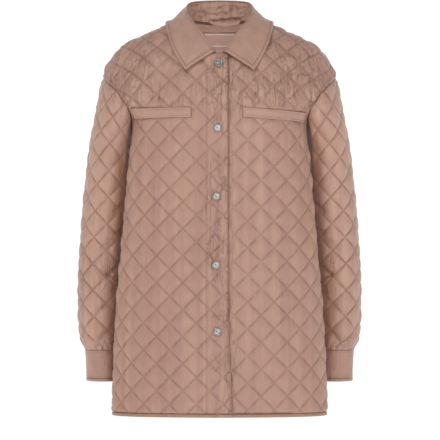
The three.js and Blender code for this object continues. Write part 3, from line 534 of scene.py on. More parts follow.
def make_object(name, points, faces, material, groove=None):
    mesh = bpy.data.meshes.new(name)
    mesh.from_pydata((points * MM).tolist(), [], [tuple(f) for f in faces])
    mesh.update()
    mesh.polygons.foreach_set("use_smooth", np.ones(len(mesh.polygons), bool))
    # The groove attribute holds painted shade for stitch lines, seams, folds and rolled edges.
    if groove is not None:
        store(mesh, "groove", groove)
    mesh.materials.append(material)
    obj = link_object(name, mesh)
    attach(obj, "root")
    return obj


def crinkled(obj, values):
    """Stores how much a wall's cloth crinkles, the same on both its layers; this sets the crinkles'
    bumps and their painted shade.
    """
    store(obj.data, "crinkle", np.tile(values, 2))


def wall(name, triangles, outer, inner, material, groove, flip=False):
    """A closed skin from an outer and an inner layer over the same triangles."""
    layers = np.concatenate([outer.reshape(-1, 3), inner.reshape(-1, 3)])
    count = len(layers) // 2
    back_side = triangles[:, ::-1] + count
    rim = rim_edges(triangles)
    sides = np.stack([rim[:, 1], rim[:, 0], rim[:, 0] + count, rim[:, 1] + count], 1)
    if flip:
        triangles = triangles[:, ::-1]
        back_side = back_side[:, ::-1]
        sides = sides[:, ::-1]
    faces = triangles.tolist() + back_side.tolist() + sides.tolist()
    return make_object(name, layers, faces, material, np.tile(groove.ravel(), 2))


def mirror_wall(name, triangles, outer, inner, material, groove, flip=False):
    turn = np.array([-1, 1, 1])
    return wall(name, triangles, outer * turn, inner * turn, material, groove, not flip)


def grid_triangles(rows, across, closed=False):
    width = across
    a = np.arange(rows - 1)[:, None] * width
    k = np.arange(across if closed else across - 1)[None, :]
    following = (k + 1) % width
    p = (a + k).ravel()
    q = (a + following).ravel()
    r = (a + width + following).ravel()
    t = (a + width + k).ravel()
    return np.concatenate([np.stack([p, q, r], 1), np.stack([p, r, t], 1)])


def grid_normals(points, closed=False):
    if closed:
        around = np.roll(points, -1, axis=1) - np.roll(points, 1, axis=1)
    else:
        around = np.gradient(points, axis=1)
    return unit(np.cross(around, np.gradient(points, axis=0)))


def rounded(distance, radius):
    """Share of the wall's thickness at a distance from a rolled edge."""
    f = np.clip(distance / radius, 0, 1)
    return np.sqrt(np.maximum(1 - (1 - f) ** 2, 0.02))


def eased(count, ends=1.0):
    """Numbers from 0 to 1 that lie closer together near both ends."""
    f = np.linspace(0, 1, count)
    return (1 - ends) * f + ends * (f - np.sin(2 * np.pi * f) / (2 * np.pi) * 0.9)


def declare(obj, node, slot, flat, held, rests_on, area=None, with_pieces=()):
    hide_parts(node)


def surface_area(points, triangles):
    a, b, c = (points.reshape(-1, 3)[triangles[:, k]] for k in range(3))
    return float(np.linalg.norm(np.cross(b - a, c - a), axis=1).sum() / 2) * MM * MM


# Materials
def srgb(red, green, blue):
    """Linear colour of an eight-bit one, with full cover."""
    parts = (v / 12.92 if v <= 0.04045 else ((v + 0.055) / 1.055) ** 2.4
             for v in (red / 255, green / 255, blue / 255))
    return (*parts, 1)


class Look:
    """One material and its nodes, in the object's own space."""

    def __init__(self, name):
        self.material = bpy.data.materials.new(name)
        self.material.use_nodes = True
        self.tree = self.material.node_tree

    @functools.cached_property
    def place(self):
        return self.node("ShaderNodeTexCoord", {}, "Object")

    def give(self, node, inputs):
        for key, value in inputs.items():
            if isinstance(value, bpy.types.NodeSocket):
                self.tree.links.new(value, node.inputs[key])
            else:
                node.inputs[key].default_value = value

    def node(self, kind, inputs, output=0, **settings):
        node = self.tree.nodes.new(kind)
        for key, value in settings.items():
            setattr(node, key, value)
        self.give(node, inputs)
        return node.outputs[output]

    def attribute(self, name):
        return self.node("ShaderNodeAttribute", {}, "Fac", attribute_name=name)

    def noise(self, scale, detail, upright):
        """Noise whose swells are longer upwards where upright is under 1."""
        mapped = self.node("ShaderNodeMapping", {"Scale": (1.0, 1.0, upright), "Vector": self.place})
        inputs = {"Scale": scale, "Detail": detail, "Roughness": 0.55, "Vector": mapped}
        return self.node("ShaderNodeTexNoise", inputs, "Fac")

    def math(self, operation, one, two):
        return self.node("ShaderNodeMath", {0: one, 1: two}, operation=operation)

    def add(self, one, two):
        return self.math("ADD", one, two)

    def times(self, one, two):
        return self.math("MULTIPLY", one, two)

    def mix(self, factor, one, two):
        return self.node("ShaderNodeMix", {0: factor, 6: one, 7: two}, 2, data_type="RGBA")

    def span(self, value, low, high, to_low=0.0, to_high=1.0):
        inputs = {"Value": value, "From Min": low, "From Max": high, "To Min": to_low, "To Max": to_high}
        return self.node("ShaderNodeMapRange", inputs, "Result")

    def ridge(self, value):
        """Thin lines where the noise passes its middle."""
        aside = self.math("ABSOLUTE", self.math("SUBTRACT", value, 0.5), 0)
        return self.span(aside, 0.0, 0.035, 1.0, 0.0)

    def finished(self, inputs):
        self.give(self.tree.nodes["Principled BSDF"], inputs)
        return self.material


def cloth_material(name, light, dark, crease, puckers=1.0, groove_shaded=True, roughness=0.42):
    """Nylon with upright streaks of its own tone and of painted satin sheen, a fine weave, and painted
    shade on its crinkles, stitch lines, seams and folds.
    """
    look = Look(name)
    # crease is the colour of the painted shade in crinkles, grooves, seams and folds.
    light, dark, crease = (srgb(*colour) for colour in (light, dark, crease))
    # Upright streaks of painted satin sheen, mixed with the cloth's own random tone, between its light
    # and dark colours.
    streaks = look.times(look.noise(60, 4, 0.05), 1.3)
    blotches = look.times(look.noise(11, 3, 0.3), 0.7)
    colour = look.mix(look.span(look.add(streaks, blotches), 0.7, 1.3), light, dark)
    patches = look.span(look.noise(16, 2, 0.7), 0.36, 0.6)
    patches = look.times(patches, look.attribute("crinkle"))
    long_lines = look.ridge(look.noise(42, 2, 0.2))
    short_lines = look.ridge(look.noise(90, 2, 0.3))
    lines = look.times(patches, look.add(long_lines, short_lines))
    # Painted shade in the crinkles: their lines darken towards the crease colour, and the bump also
    # dents them.
    colour = look.mix(look.times(lines, 0.42 * puckers), colour, crease)
    if groove_shaded:
        # Painted shade: the groove attribute darkens grooves, seams, folds and edges towards the crease
        # colour.
        narrow = look.math("POWER", look.attribute("groove"), 1.25)
        ragged = look.span(look.noise(80, 2, 0.6), 0.3, 0.6, 0.4, 1.0)
        colour = look.mix(look.times(narrow, ragged), colour, crease)
    height = look.add(look.noise(55, 3, 0.22), look.times(look.noise(150, 2, 0.5), 0.5))
    height = look.add(height, look.times(lines, -0.9))
    weave = look.node("ShaderNodeTexChecker", {"Scale": 1400, "Vector": look.place}, "Fac")
    height = look.add(height, look.times(weave, 0.012))
    relief = {"Strength": 0.6 * puckers, "Distance": 0.0022, "Height": height}
    return look.finished({
        "Base Color": colour,
        "Roughness": roughness,
        "Specular IOR Level": 0.45,
        "Sheen Weight": 0.12,
        "Sheen Roughness": 0.45,
        "Normal": look.node("ShaderNodeBump", relief, "Normal"),
    })


def metal_material():
    look = Look("satin_nickel")
    wear = look.noise(900, 3, 1.0)
    return look.finished({
        "Base Color": look.mix(wear, srgb(176, 174, 171), srgb(138, 138, 137)),
        "Metallic": 1.0,
        "Roughness": look.span(wear, 0.3, 0.7, 0.22, 0.34),
    })


# Each cloth's light and dark colours, its colour of painted shade for creases and grooves, and how much
# it puckers
QUILTED = cloth_material("quilted_nylon", (184, 145, 125), (167, 127, 113), (118, 81, 66))
# Painted light: the sleeves get a lighter copy of the quilted nylon, to lift the shade on their inner
# sides.
LIT_SLEEVE_CLOTH = cloth_material("sleeve_nylon", (194, 155, 134), (177, 137, 122), (124, 86, 70))
PLAIN = cloth_material("plain_nylon", (182, 144, 125), (170, 132, 115), (116, 80, 66), 0.8)
# Painted shade: the hem bindings get a darker copy of the nylon for the shade along the hem.
SHADED_BINDING = cloth_material("binding_nylon", (170, 133, 115), (154, 118, 102), (104, 74, 62), 0.8)
FACING_CLOTH = cloth_material("facing_cloth", (184, 147, 129), (168, 131, 114), (116, 82, 68), 0.8)
LABEL_CLOTH = cloth_material("label_cloth", (188, 153, 138), (178, 142, 127), (122, 90, 78), 0.3,
                             roughness=0.4)
LABEL_LINE = cloth_material("label_line", (226, 209, 199), (214, 194, 183), (200, 180, 170), 0.2,
                            groove_shaded=False, roughness=0.5)
THREAD = cloth_material("thread", (150, 113, 98), (138, 102, 88), (120, 88, 74), 0.2,
                        groove_shaded=False, roughness=0.65)
NICKEL = metal_material()


# Relief of the quilting
def pillow(i, j):
    """1 in the middle of a quilted square and 0 on its stitch lines."""
    p = np.abs(np.sin(np.pi * (i + j) / (2 * FINE)))
    q = np.abs(np.sin(np.pi * (i - j) / (2 * FINE)))
    return (p * q) ** PUFF_POWER


def stitch_line(i, j):
    """1 on a stitch line, fading to 0 in about one fine step."""
    def near(value):
        return np.abs((value + FINE) % (2 * FINE) - FINE)
    distance = np.minimum(near(i + j), near(i - j)) / np.sqrt(2) * STEP
    return np.clip(1 - distance / (0.75 * STEP), 0, 1)


def side_calm(points):
    """Puffs die out under the arms, where the sleeve lies against the body."""
    y = points[:, 1]
    z = points[:, 2]
    side = 0.75 * smooth((y + 55) / 40) * smooth((95 - y) / 40) * smooth((z + 700) / 60)
    side = side * smooth((-95 - z) / 30)
    under = smooth((z + 250) / 30) * smooth((-95 - z) / 30)
    pit = smooth((y + 85) / 25) * smooth((100 - y) / 25) * under
    return np.where(np.abs(points[:, 0]) > 140, np.clip(1 - side - pit, 0, 1), 1)


def soft_folds(s, z, seed, amount):
    """Upright soft folds and finer streaks, in millimetres."""
    wide = ripples(s, z, 38, 240, seed) * 1.1
    middling = ripples(s, z, 13, 85, seed + 1) * 0.45
    fine = ripples(s, z, 6.5, 90, seed + 2) * 0.28
    return (wide + middling + fine) * amount


def weld_in(value, sheet):
    """The wall thins where the panel is sewn to the next one."""
    return np.where(sheet.edge < 0.01, value, 0)


# A valley pressed into the cloth between two places of the front view
def crease(points, start, end, depth, width):
    x = np.abs(points[:, 0])
    z = points[:, 2]
    along = np.array(end, float) - np.array(start, float)
    length = np.hypot(*along)
    f = ((x - start[0]) * along[0] + (z - start[1]) * along[1]) / length**2
    aside = ((x - start[0]) * along[1] - (z - start[1]) * along[0]) / length
    fade = smooth((f + 0.15) / 0.3) * smooth((1.15 - f) / 0.3)
    return -depth * bell(aside, width) * fade


BODY_CREASES = [
    ((176, -78), (163, -160), 2.2, 5),
    ((188, -112), (166, -150), 1.2, 4),
    ((120, -40), (70, -85), 0.8, 5),
]
SLEEVE_CREASES = [
    ((176, -432), (206, -470), 4.2, 3.6),
    ((178, -486), (212, -462), 3.4, 3.4),
    ((180, -470), (200, -500), 3.0, 3.4),
    ((186, -512), (218, -530), 2.0, 4),
    ((194, -398), (226, -424), 1.4, 5),
    ((174, -330), (196, -352), 2.2, 4),
    ((172, -372), (194, -392), 2.4, 4),
    ((184, -548), (206, -575), 2.0, 4),
    ((200, -570), (228, -590), 1.4, 5),
]


def all_creases(points, rows):
    front = smooth((20 - points[:, 1]) / 30)
    return sum(crease(points, *row) for row in rows) * front


# The welt's patch on its front
def welt_top(welt, s):
    slope = (welt["outer_z"] - welt["inner_z"]) / (welt["outer"] - welt["inner"])
    return welt["inner_z"] + slope * (np.abs(s) - welt["inner"])


def welt_calm(welt, s, z):
    top = welt_top(welt, s)
    across = np.maximum(welt["inner"] - s * welt["side"], s * welt["side"] - welt["outer"])
    up = np.maximum(z - top, top - welt["height"] - z)
    return smooth(np.maximum(across, up) / 5)


def snap_dent(s, z):
    """1 close to a snap and 0 away from it."""
    near = np.zeros_like(s)
    for snap_s, snap_z in SNAPS:
        distance = np.hypot(s - snap_s, z - snap_z)
        near = np.maximum(near, smooth((SNAP_RADIUS + 6 - distance) / 6))
    return near


SNAP_SEAT = 0.9
SEWN_INSET = 6.5


def sewn_line(distance):
    """1 on the line of stitching that runs beside a seam."""
    return bell(distance - SEWN_INSET, 1.3)


def front_crinkles(right, s, z, to_armhole):
    """Where a front's cloth crinkles: at the placket, over the chest and by the armhole."""
    placket = 0.95 * smooth((28 - np.abs(s + 2)) / 9) if right else 0.9 * smooth((34 - s) / 10)
    chest = 0.9 * smooth((z + 200) / 60)
    sewn = smooth((34 - to_armhole) / 20)
    return np.maximum(np.maximum(placket, chest), np.maximum(sewn, LEAST_CRINKLE))


def front_relief(right, s, z, i, j, edge, points):
    """Heights of a front's outer face, and how far its whole wall moves in folds."""
    welt = WELTS["right" if right else "left"]
    calm = side_calm(points) * smooth(np.maximum(edge, 0) / 6) * welt_calm(welt, s, z)
    if not right:
        calm = calm * smooth((s - placket_edge(z) - PLACKET_MARGIN) / 4)
    away = smooth((np.abs(s - PLACKET_SEAM / 2) - 30) / 30) * smooth(edge / 30)
    folds = soft_folds(s, z, 11, 1.0) * away + all_creases(points, BODY_CREASES) * smooth(edge / 12)
    puff = PUFF * pillow(i, j) * calm
    puff = puff * (1.18 + 0.3 * ripples(s, z, 21, 21, 33))
    gathers = ripples(s, z, 4.6, 17, 34) + 0.6 * ripples(s, z, 8.5, 30, 35)
    chest = smooth((z + 205) / 60) * smooth(edge / 10) * calm
    puff = puff + 0.8 * gathers * chest
    fine = ripples(s, z, 5, 26, 31) * 0.3 + ripples(s, z, 9, 60, 32) * 0.4
    if right:
        placket = smooth((s - PLACKET_SEAM + 8) / 6) * smooth(edge / 6)
        puff = puff * (1 - 0.25 * placket) + np.maximum(fine, -0.5) * 1.3 * placket
        line = bell(s - PLACKET_SEAM, 2.6) * smooth((NECK_FRONT_Z - 20 - z) / 10)
        puff = puff - 1.0 * line
        near = snap_dent(s, z)
        puff = puff * (1 - near) + SNAP_SEAT * near
    else:
        puff = puff + fine * 0.3 * calm
    return puff, folds, calm


def lattice_at(back, s, z, phase):
    i = (s - phase[0]) / STEP
    j = (length_at(back, s, z) - length_at(back, s, np.full_like(s, phase[1]))) / STEP
    return i, j


EDGE_SINK = 0.7


PANEL_REACH = 330
QUILT_SHADE = 0.66
SEWN_DEPTH = 0.7
LEAST_CRINKLE = 0.14


def panel_sheet(back, phase, span, edge=None):
    """The quilting of one panel, cut at its hem, side, armhole, neck and front edge."""
    sheet = quilt_sheet(phase, span, (HEM_Z - CELL, TOP_Z + 4 * CELL),
                        lambda s, distance: row_heights(back, s, distance, phase[1]))
    trim(sheet, lambda s, z: HEM_Z + HEM_BINDING - z)
    for line in (side_seam(back), armhole(back), neckline(back), edge):
        if line:
            trim(sheet, line)
    return compact(sheet)


# Painted shade along the stitch lines and where the panel's edges are sewn.
def quilt_line_shade(sheet, calm, shade):
    groove = stitch_line(sheet.i, sheet.j) * np.clip(calm * 1.6, 0, 1) * shade
    return np.maximum(groove, 1 - smooth(sheet.edge / 1.6))


def panel_cut(back, sheet, points):
    """The panel's flat size and area."""
    lengths = length_at(back, sheet.s, sheet.z)
    area = round(surface_area(points, sheet.triangles), 4)
    return {"flat": (metres(np.ptp(sheet.s)), metres(np.ptp(lengths))), "area": area}


def add_front(right):
    name = "front_right" if right else "front_left"
    phase = QUILT_PHASE[name]
    span = (-PANEL_REACH, PLACKET_EDGE_AT_HEM + CELL) if right else (UNDERLAP - CELL, PANEL_REACH)
    edge = (lambda s, z: s - placket_edge(z)) if right else (lambda s, z: UNDERLAP - s)
    sheet = panel_sheet(False, phase, span, edge)
    points, normals = front_surface(sheet.s, sheet.z)
    puff, folds, calm = front_relief(right, sheet.s, sheet.z, sheet.i, sheet.j, sheet.edge, points)
    lift = placket_lift(sheet.s) if right else np.zeros_like(sheet.s)
    sink = weld_in(EDGE_SINK, sheet)
    lined = smooth((PLACKET_SEAM - 4 - sheet.s) / 6) if right else smooth((sheet.s - 34) / 6)
    inner_puff = INNER_PUFF * pillow(sheet.i, sheet.j) * calm * lined
    outer = raised(points, normals, lift + folds + puff - sink)
    inner = raised(points, normals, lift + folds - WALL - inner_puff + sink)
    to_armhole = -armhole(False)(sheet.s, sheet.z)
    sewn = SEWN_DEPTH * sewn_line(to_armhole)
    outer -= normals * sewn[:, None]
    # Painted shade on the stitch lines, the sewn edges and the topstitching by the armhole; the sewn
    # line is also dented.
    groove = np.maximum(quilt_line_shade(sheet, calm, QUILT_SHADE), sewn)
    if right:
        # Painted shade beside the placket seam.
        beside = bell(sheet.s - PLACKET_SEAM, 1.5)
        groove = np.maximum(groove, 0.75 * beside * smooth((NECK_FRONT_Z - 18 - sheet.z) / 10))
    obj = wall(f"cloth_{name}", sheet.triangles, outer, inner, QUILTED, groove)
    crinkled(obj, front_crinkles(right, sheet.s, sheet.z, to_armhole))
    return obj, panel_cut(False, sheet, points)


def add_back():
    sheet = panel_sheet(True, QUILT_PHASE["back"], (-PANEL_REACH, PANEL_REACH))
    points, normals = back_surface(sheet.s, sheet.z)
    calm = side_calm(points) * smooth(np.maximum(sheet.edge, 0) / 6)
    faced = smooth(np.maximum(np.abs(sheet.s) - 76, -82 - sheet.z) / 8)
    folds = soft_folds(sheet.s, sheet.z, 51, 1.1) * smooth(sheet.edge / 30) * faced
    quilt = pillow(sheet.i, sheet.j) * calm
    fine = ripples(sheet.s, sheet.z, 5, 26, 61) * 0.1 * calm
    sink = weld_in(EDGE_SINK, sheet)
    outer = raised(points, normals, folds + 1.25 * PUFF * quilt + fine - sink)
    inner = raised(points, normals, folds - WALL - INNER_PUFF * quilt * faced + sink)
    to_armhole = -armhole(True)(sheet.s, sheet.z)
    sewn = SEWN_DEPTH * sewn_line(to_armhole)
    outer -= normals * sewn[:, None]
    # Painted shade on the stitch lines, the sewn edges and the topstitching by the armhole.
    groove = np.maximum(quilt_line_shade(sheet, calm, QUILT_SHADE), sewn)
    obj = wall("cloth_back", sheet.triangles, outer, inner, QUILTED, groove, flip=True)
    near = np.maximum(0.7 * smooth((sheet.z + 180) / 80), smooth((34 - to_armhole) / 20))
    crinkled(obj, np.maximum(near, LEAST_CRINKLE))
    return obj, panel_cut(True, sheet, points)


# Stitches: one small mesh for each run of topstitching
def stitch_run(name, runs, length=2.4, gap=1.1, radius=0.24):
    """runs are (points, normals) along the cloth's face; each stitch is a tapered bead."""
    vertices = []
    faces = []
    sides = 6
    rings = ((-0.5, 0.35), (-0.25, 0.9), (0.25, 0.9), (0.5, 0.35))
    angles = 2 * np.pi * np.arange(sides) / sides
    for points, normals in runs:
        steps = np.linalg.norm(np.diff(points, axis=0), axis=1)
        arc = np.concatenate([[0], np.cumsum(steps)])
        count = max(int(arc[-1] / (length + gap)), 1)
        middles = (np.arange(count) + 0.5) * arc[-1] / count

        def at(places, table):
            return np.stack([np.interp(places, arc, table[:, k]) for k in range(3)], axis=1)
        centres = at(middles, points)
        ups = unit(at(middles, normals))
        along = unit(at(middles + 0.5, points) - at(middles - 0.5, points))
        across = unit(np.cross(along, ups))
        for share, size in rings:
            ring = (
                (centres + along * share * length + ups * radius * 0.55)[:, None, :]
                + across[:, None, :] * (np.cos(angles) * radius * 1.5 * size)[None, :, None]
                + ups[:, None, :] * (np.sin(angles) * radius * size)[None, :, None]
            )
            vertices.append(ring)
        base = sum(v.shape[0] * sides for v in vertices[:-len(rings)])
        for k in range(count):
            for ring in range(len(rings) - 1):
                a = base + ring * count * sides + k * sides
                b = a + count * sides
                faces += [
                    (a + m, a + (m + 1) % sides, b + (m + 1) % sides, b + m) for m in range(sides)
                ]
            last = base + (len(rings) - 1) * count * sides + k * sides
            faces.append(tuple(base + k * sides + m for m in reversed(range(sides))))
            faces.append(tuple(last + m for m in range(sides)))
    obj = make_object(name, np.concatenate([v.reshape(-1, 3) for v in vertices]), faces, THREAD)
    return obj


def front_run(right, s, z, edge=3.0, extra=0.0):
    """A run of places on a front's outer face."""
    phase = QUILT_PHASE["front_right" if right else "front_left"]
    points, normals = front_surface(s, z)
    i, j = lattice_at(False, s, z, phase)
    edge = np.broadcast_to(np.asarray(edge, float), s.shape)
    puff, folds, _ = front_relief(right, s, z, i, j, edge, points)
    lift = placket_lift(s) if right else np.zeros_like(s)
    return raised(points, normals, lift + puff + folds + extra), normals


# Welts
WELT_PROUD = 0.9


def add_welt(side):
    welt = WELTS[side]
    right = side == "right"
    rows, across = 17, 121
    f, g = np.meshgrid(eased(across), eased(rows))
    reach = welt["inner"] + (welt["outer"] - welt["inner"]) * f
    s = reach * welt["side"]
    z = welt_top(welt, s) - welt["height"] * (1 - g)
    points, normals = front_surface(s, z)
    length = welt["outer"] - welt["inner"]
    border = np.minimum(np.minimum(f, 1 - f) * length, np.minimum(g, 1 - g) * welt["height"])
    lift = placket_lift(s) if right else np.zeros_like(s)
    thickness = (PLAIN_WALL + WELT_PROUD) * rounded(border, 2.4)
    ripple = ripples(s, z, 14, 9, 71) * 0.35 * smooth(border / 4)
    seam = 0.35 * bell(border - 4.2, 1.2)
    outer = raised(points, normals, lift + 0.2 + thickness + ripple - seam)
    inner = raised(points, normals, lift + 0.1)
    triangles = grid_triangles(rows, across)
    # Painted shade on the welt's rolled edges and its line of stitching.
    groove = np.maximum(1 - smooth(border / 1.8), 0.25 * bell(border - 4.2, 1.0))
    obj = wall(f"cloth_welt_{side}", triangles, outer, inner,
               PLAIN, groove, flip=welt["side"] < 0)
    inset = 4.2
    ends = np.linspace(welt["inner"] + inset, welt["outer"] - inset, 60) * welt["side"]
    runs = []
    for drop in (inset, welt["height"] - inset):
        heights = welt_top(welt, ends) - drop
        place, normal = front_surface(ends, heights)
        lifted = (placket_lift(ends) if right else 0) + 0.2 + PLAIN_WALL + WELT_PROUD - 0.3
        runs.append((place + normal * np.broadcast_to(lifted, ends.shape)[:, None], normal))
    stitches = stitch_run(f"stitches_welt_{side}", runs)
    declare(obj, f"welt_{side}", "plain_nylon", (metres(length), welt["height"] * MM),
            "laid", [f"cloth_front_{side}"], with_pieces=[stitches])


# Hem bindings
def seam_arc(back, z):
    """Arc of the side seam from the centre, on the front or the back, at one height."""
    level = int(np.clip(round(z - LEVELS[0]), 0, len(LEVELS) - 1))
    arc = np.interp(0, SLICE_Y[level], np.linspace(0, 1, SHARES)) * SLICE_TOTAL[level]
    return SLICE_TOTAL[level] - arc if back else arc


def add_hem_binding(name, back, start, finish, lift_of, proud_of, rests_on):
    rows = 11
    across = 241
    f, g = np.meshgrid(np.linspace(0, 1, across), eased(rows))
    s = start + (finish - start) * f
    z = HEM_Z + HEM_BINDING * g
    points, normals = (back_surface if back else front_surface)(s, z)
    border = np.minimum(g, 1 - g) * HEM_BINDING
    lift = lift_of(s)
    proud = proud_of(s)
    pucker = ripples(s, z, 3.5, 8, 81) * 0.3 * proud
    full = (0.5 + 0.7 * np.sin(np.pi * g)) * proud + pucker
    depth = WALL / 2
    outer = raised(points, normals, lift - depth + (depth + full) * rounded(border, 1.6))
    inner = raised(points, normals, lift - depth - (depth + 0.2) * rounded(border, 1.6))
    # Painted shade along the binding's rolled edges.
    groove = np.maximum(1 - smooth(border / 1.1), 0) * 0.8
    obj = wall(f"cloth_{name}", grid_triangles(rows, across), outer, inner, SHADED_BINDING, groove, flip=back)
    flat = (metres(abs(finish - start)), HEM_BINDING * MM)
    declare(obj, name, "plain_nylon", (flat[0], max(flat[1], LEAST_FLAT)), "hung", rests_on,
            area=round(flat[0] * flat[1], 5))


# Sleeves, drawn on the +X side and mirrored
def evenly(curve, samples=400):
    f = np.linspace(0, 1, samples + 1)
    points = curve(f)
    arc = np.concatenate([[0], np.cumsum(np.linalg.norm(np.diff(points, axis=0), axis=1))])
    return lambda share: np.interp(np.asarray(share) * arc[-1], arc, f)


def armhole_point(turn, f):
    angle = np.pi * f
    y = -turn * ARMHOLE_HALF_DEPTH * np.sin(angle)
    z = ARMHOLE_Z + ARMHOLE_HALF_HEIGHT * np.cos(angle)
    return vec(body_width(z, y), y, z)


RING_FRONT = evenly(lambda f: armhole_point(1, f))
RING_BACK = evenly(lambda f: armhole_point(-1, f))
OVAL = evenly(lambda f: vec(np.cos(np.pi * f), 1.5 * np.sin(np.pi * f), 0))


def ring_point(share):
    along = np.minimum(np.abs(share), 1)
    behind = (share < 0)[..., None]
    return np.where(behind, armhole_point(-1, RING_BACK(along)), armhole_point(1, RING_FRONT(along)))


def sleeve_oval(share, z):
    form = smooth_table(SLEEVE, z)
    angle = np.pi * OVAL(np.minimum(np.abs(share), 1)) * np.where(share < 0, -1, 1)
    half = (form["outer"] - form["inner"]) / 2
    x = form["inner"] + half + half * np.cos(angle)
    return vec(x, form["middle"] - form["depth"] * np.sin(angle), z)


def sleeve_girth(z):
    form = smooth_table(SLEEVE, z)
    half = (form["outer"] - form["inner"]) / 2
    return 2 * np.pi * np.sqrt((half**2 + form["depth"] ** 2) / 2)


def sleeve_point(u, z):
    u, z = np.broadcast_arrays(np.asarray(u, float), np.asarray(z, float))
    share = np.clip(2 * u / sleeve_girth(z), -1, 1)
    top = ring_point(share)
    move = top - sleeve_oval(share, top[..., 2])
    fade = smooth(1 - (top[..., 2] - z) / SLEEVE_HEAD_BLEND)
    point = sleeve_oval(share, z) + move * fade[..., None]
    facing = smooth((np.abs(share) - 0.45) / 0.2)
    clearance = np.minimum((top[..., 2] - z) * SLEEVE_PARTING, SLEEVE_CLEARANCE)
    return pushed_out(point, facing * np.maximum(clearance, 0) - 100 * (1 - facing))


def sleeve_surface(u, z):
    delta = 1.5
    half = sleeve_girth(z) / 2
    inset = np.sign(u) * np.maximum(np.abs(u) - half + 2 * delta, 0)
    v = u - inset
    across = sleeve_point(v + delta, z) - sleeve_point(v - delta, z)
    upward = sleeve_point(v, z + delta) - sleeve_point(v, z - delta)
    normal = -unit(np.cross(across, upward))
    ring = ring_point(np.clip(u / half, -1, 1))
    outward = body_distance(ring)[1]
    agree = smooth(((outward * normal).sum(axis=-1) - 0.3) / 0.4)
    near = smooth(1 - (ring[..., 2] - z) / 30)
    blend = (agree * near)[..., None]
    return sleeve_point(u, z), unit(normal * (1 - blend) + outward * blend)


def wrist_gathers(u, z):
    """Little pleats that the cuff holds."""
    close = smooth(1 - (z - CUFF_TOP_Z) / 34)
    warp = ripples(u, z, 30, 60, 91) * 5
    ridge = 0.5 + 0.5 * np.cos(2 * np.pi * (u + warp) / 11.5)
    uneven = 0.7 + 0.3 * ripples(u, z, 12, 30, 92)
    return (ridge * 2.4 - 0.6) * uneven * close


def add_sleeves():
    phase = QUILT_PHASE["sleeve"]
    sheet = quilt_sheet(phase, (-240, 240), (CUFF_TOP_Z - CELL, -100 + CELL),
                        lambda u, rows: np.repeat((phase[1] + rows)[None, :], len(u), axis=0))
    cap = measured(lambda u, z: z - ring_point(np.clip(2 * u / sleeve_girth(z), -1, 1))[..., 2])
    trim(sheet, lambda u, z: CUFF_TOP_Z - z)
    trim(sheet, lambda u, z: np.abs(u) - sleeve_girth(z) / 2)
    trim(sheet, cap)
    compact(sheet)
    points, normals = sleeve_surface(sheet.s, sheet.z)
    share = np.abs(2 * sheet.s / sleeve_girth(sheet.z))
    calm = (1 - 0.8 * smooth((share - 0.55) / 0.2)) * smooth(np.maximum(sheet.edge, 0) / 6)
    wrist = smooth((sheet.z - CUFF_TOP_Z) / 22)
    calm = calm * (0.25 + 0.75 * wrist)
    quilt = pillow(sheet.i, sheet.j) * calm
    pinched = np.where(sheet.s > 0, bell(share - 0.4, 0.13), 0)
    quilt = quilt * (1.22 + 0.4 * pinched + 0.2 * ripples(sheet.s, sheet.z, 21, 21, 103))
    away = smooth(sheet.edge / 26) * (1 - 0.7 * smooth((share - 0.6) / 0.2))
    folds = soft_folds(sheet.s, sheet.z, 101, 1.5) * away
    folds += all_creases(points, SLEEVE_CREASES) * smooth(sheet.edge / 12)
    hem = np.maximum(wrist_gathers(sheet.s, sheet.z), -0.4) * (1 - 0.7 * smooth((share - 0.7) / 0.2))
    sink = weld_in(EDGE_SINK, sheet)
    outer = raised(points, normals, folds + PUFF * quilt + hem - sink)
    inner = raised(points, normals, folds + hem * 0.5 - WALL - INNER_PUFF * quilt + sink)
    # Painted shade on the stitch lines, the sewn edges, the creases near the inner edge and elbow, and
    # the pleats at the wrist.
    groove = quilt_line_shade(sheet, calm, QUILT_SHADE + 0.3 * pinched)
    folded = np.clip(-all_creases(points, SLEEVE_CREASES) / 3.2, 0, 1) * smooth(sheet.edge / 12)
    pleat_shade = smooth(1 - (sheet.z - CUFF_TOP_Z) / 26) * smooth(0.4 - hem / 2.4)
    groove = np.maximum(groove, np.maximum(0.8 * folded, 0.7 * pleat_shade))
    elbow = 0.8 * bell(sheet.z + 470, 55)
    gathered = smooth(1 - (sheet.z - CUFF_TOP_Z) / 45)
    crinkles = np.maximum(np.maximum(elbow, gathered), 0.6 * smooth((sheet.z + 210) / 50))
    crinkles = np.maximum(crinkles, LEAST_CRINKLE)
    area = round(surface_area(points, sheet.triangles), 4)
    flat = (metres(np.ptp(sheet.s)), metres(np.ptp(sheet.z)))
    layers = (sheet.triangles, outer, inner, LIT_SLEEVE_CLOTH, groove)
    left = wall("cloth_sleeve_left", *layers, flip=True)
    right = mirror_wall("cloth_sleeve_right", *layers, flip=True)
    for obj, side in ((left, "left"), (right, "right")):
        crinkled(obj, crinkles)
        declare(obj, f"sleeve_{side}", "quilted_nylon", flat, "hung",
                ["cloth_back", f"cloth_front_{side}"], area=area)


def cuff_layer(shares, heights, offset):
    """Points of a closed ring on the sleeve's ovals, moved out level."""
    share, z = np.meshgrid(shares, heights)
    form = smooth_table(SLEEVE, z)
    angle = np.pi * OVAL(np.abs(share)) * np.where(share < 0, -1, 1)
    half = (form["outer"] - form["inner"]) / 2
    normal = unit(vec(np.cos(angle) * form["depth"], -np.sin(angle) * half, 0))
    return sleeve_oval(share, z) + normal * offset[..., None], normal


CUFF_AROUND = 200


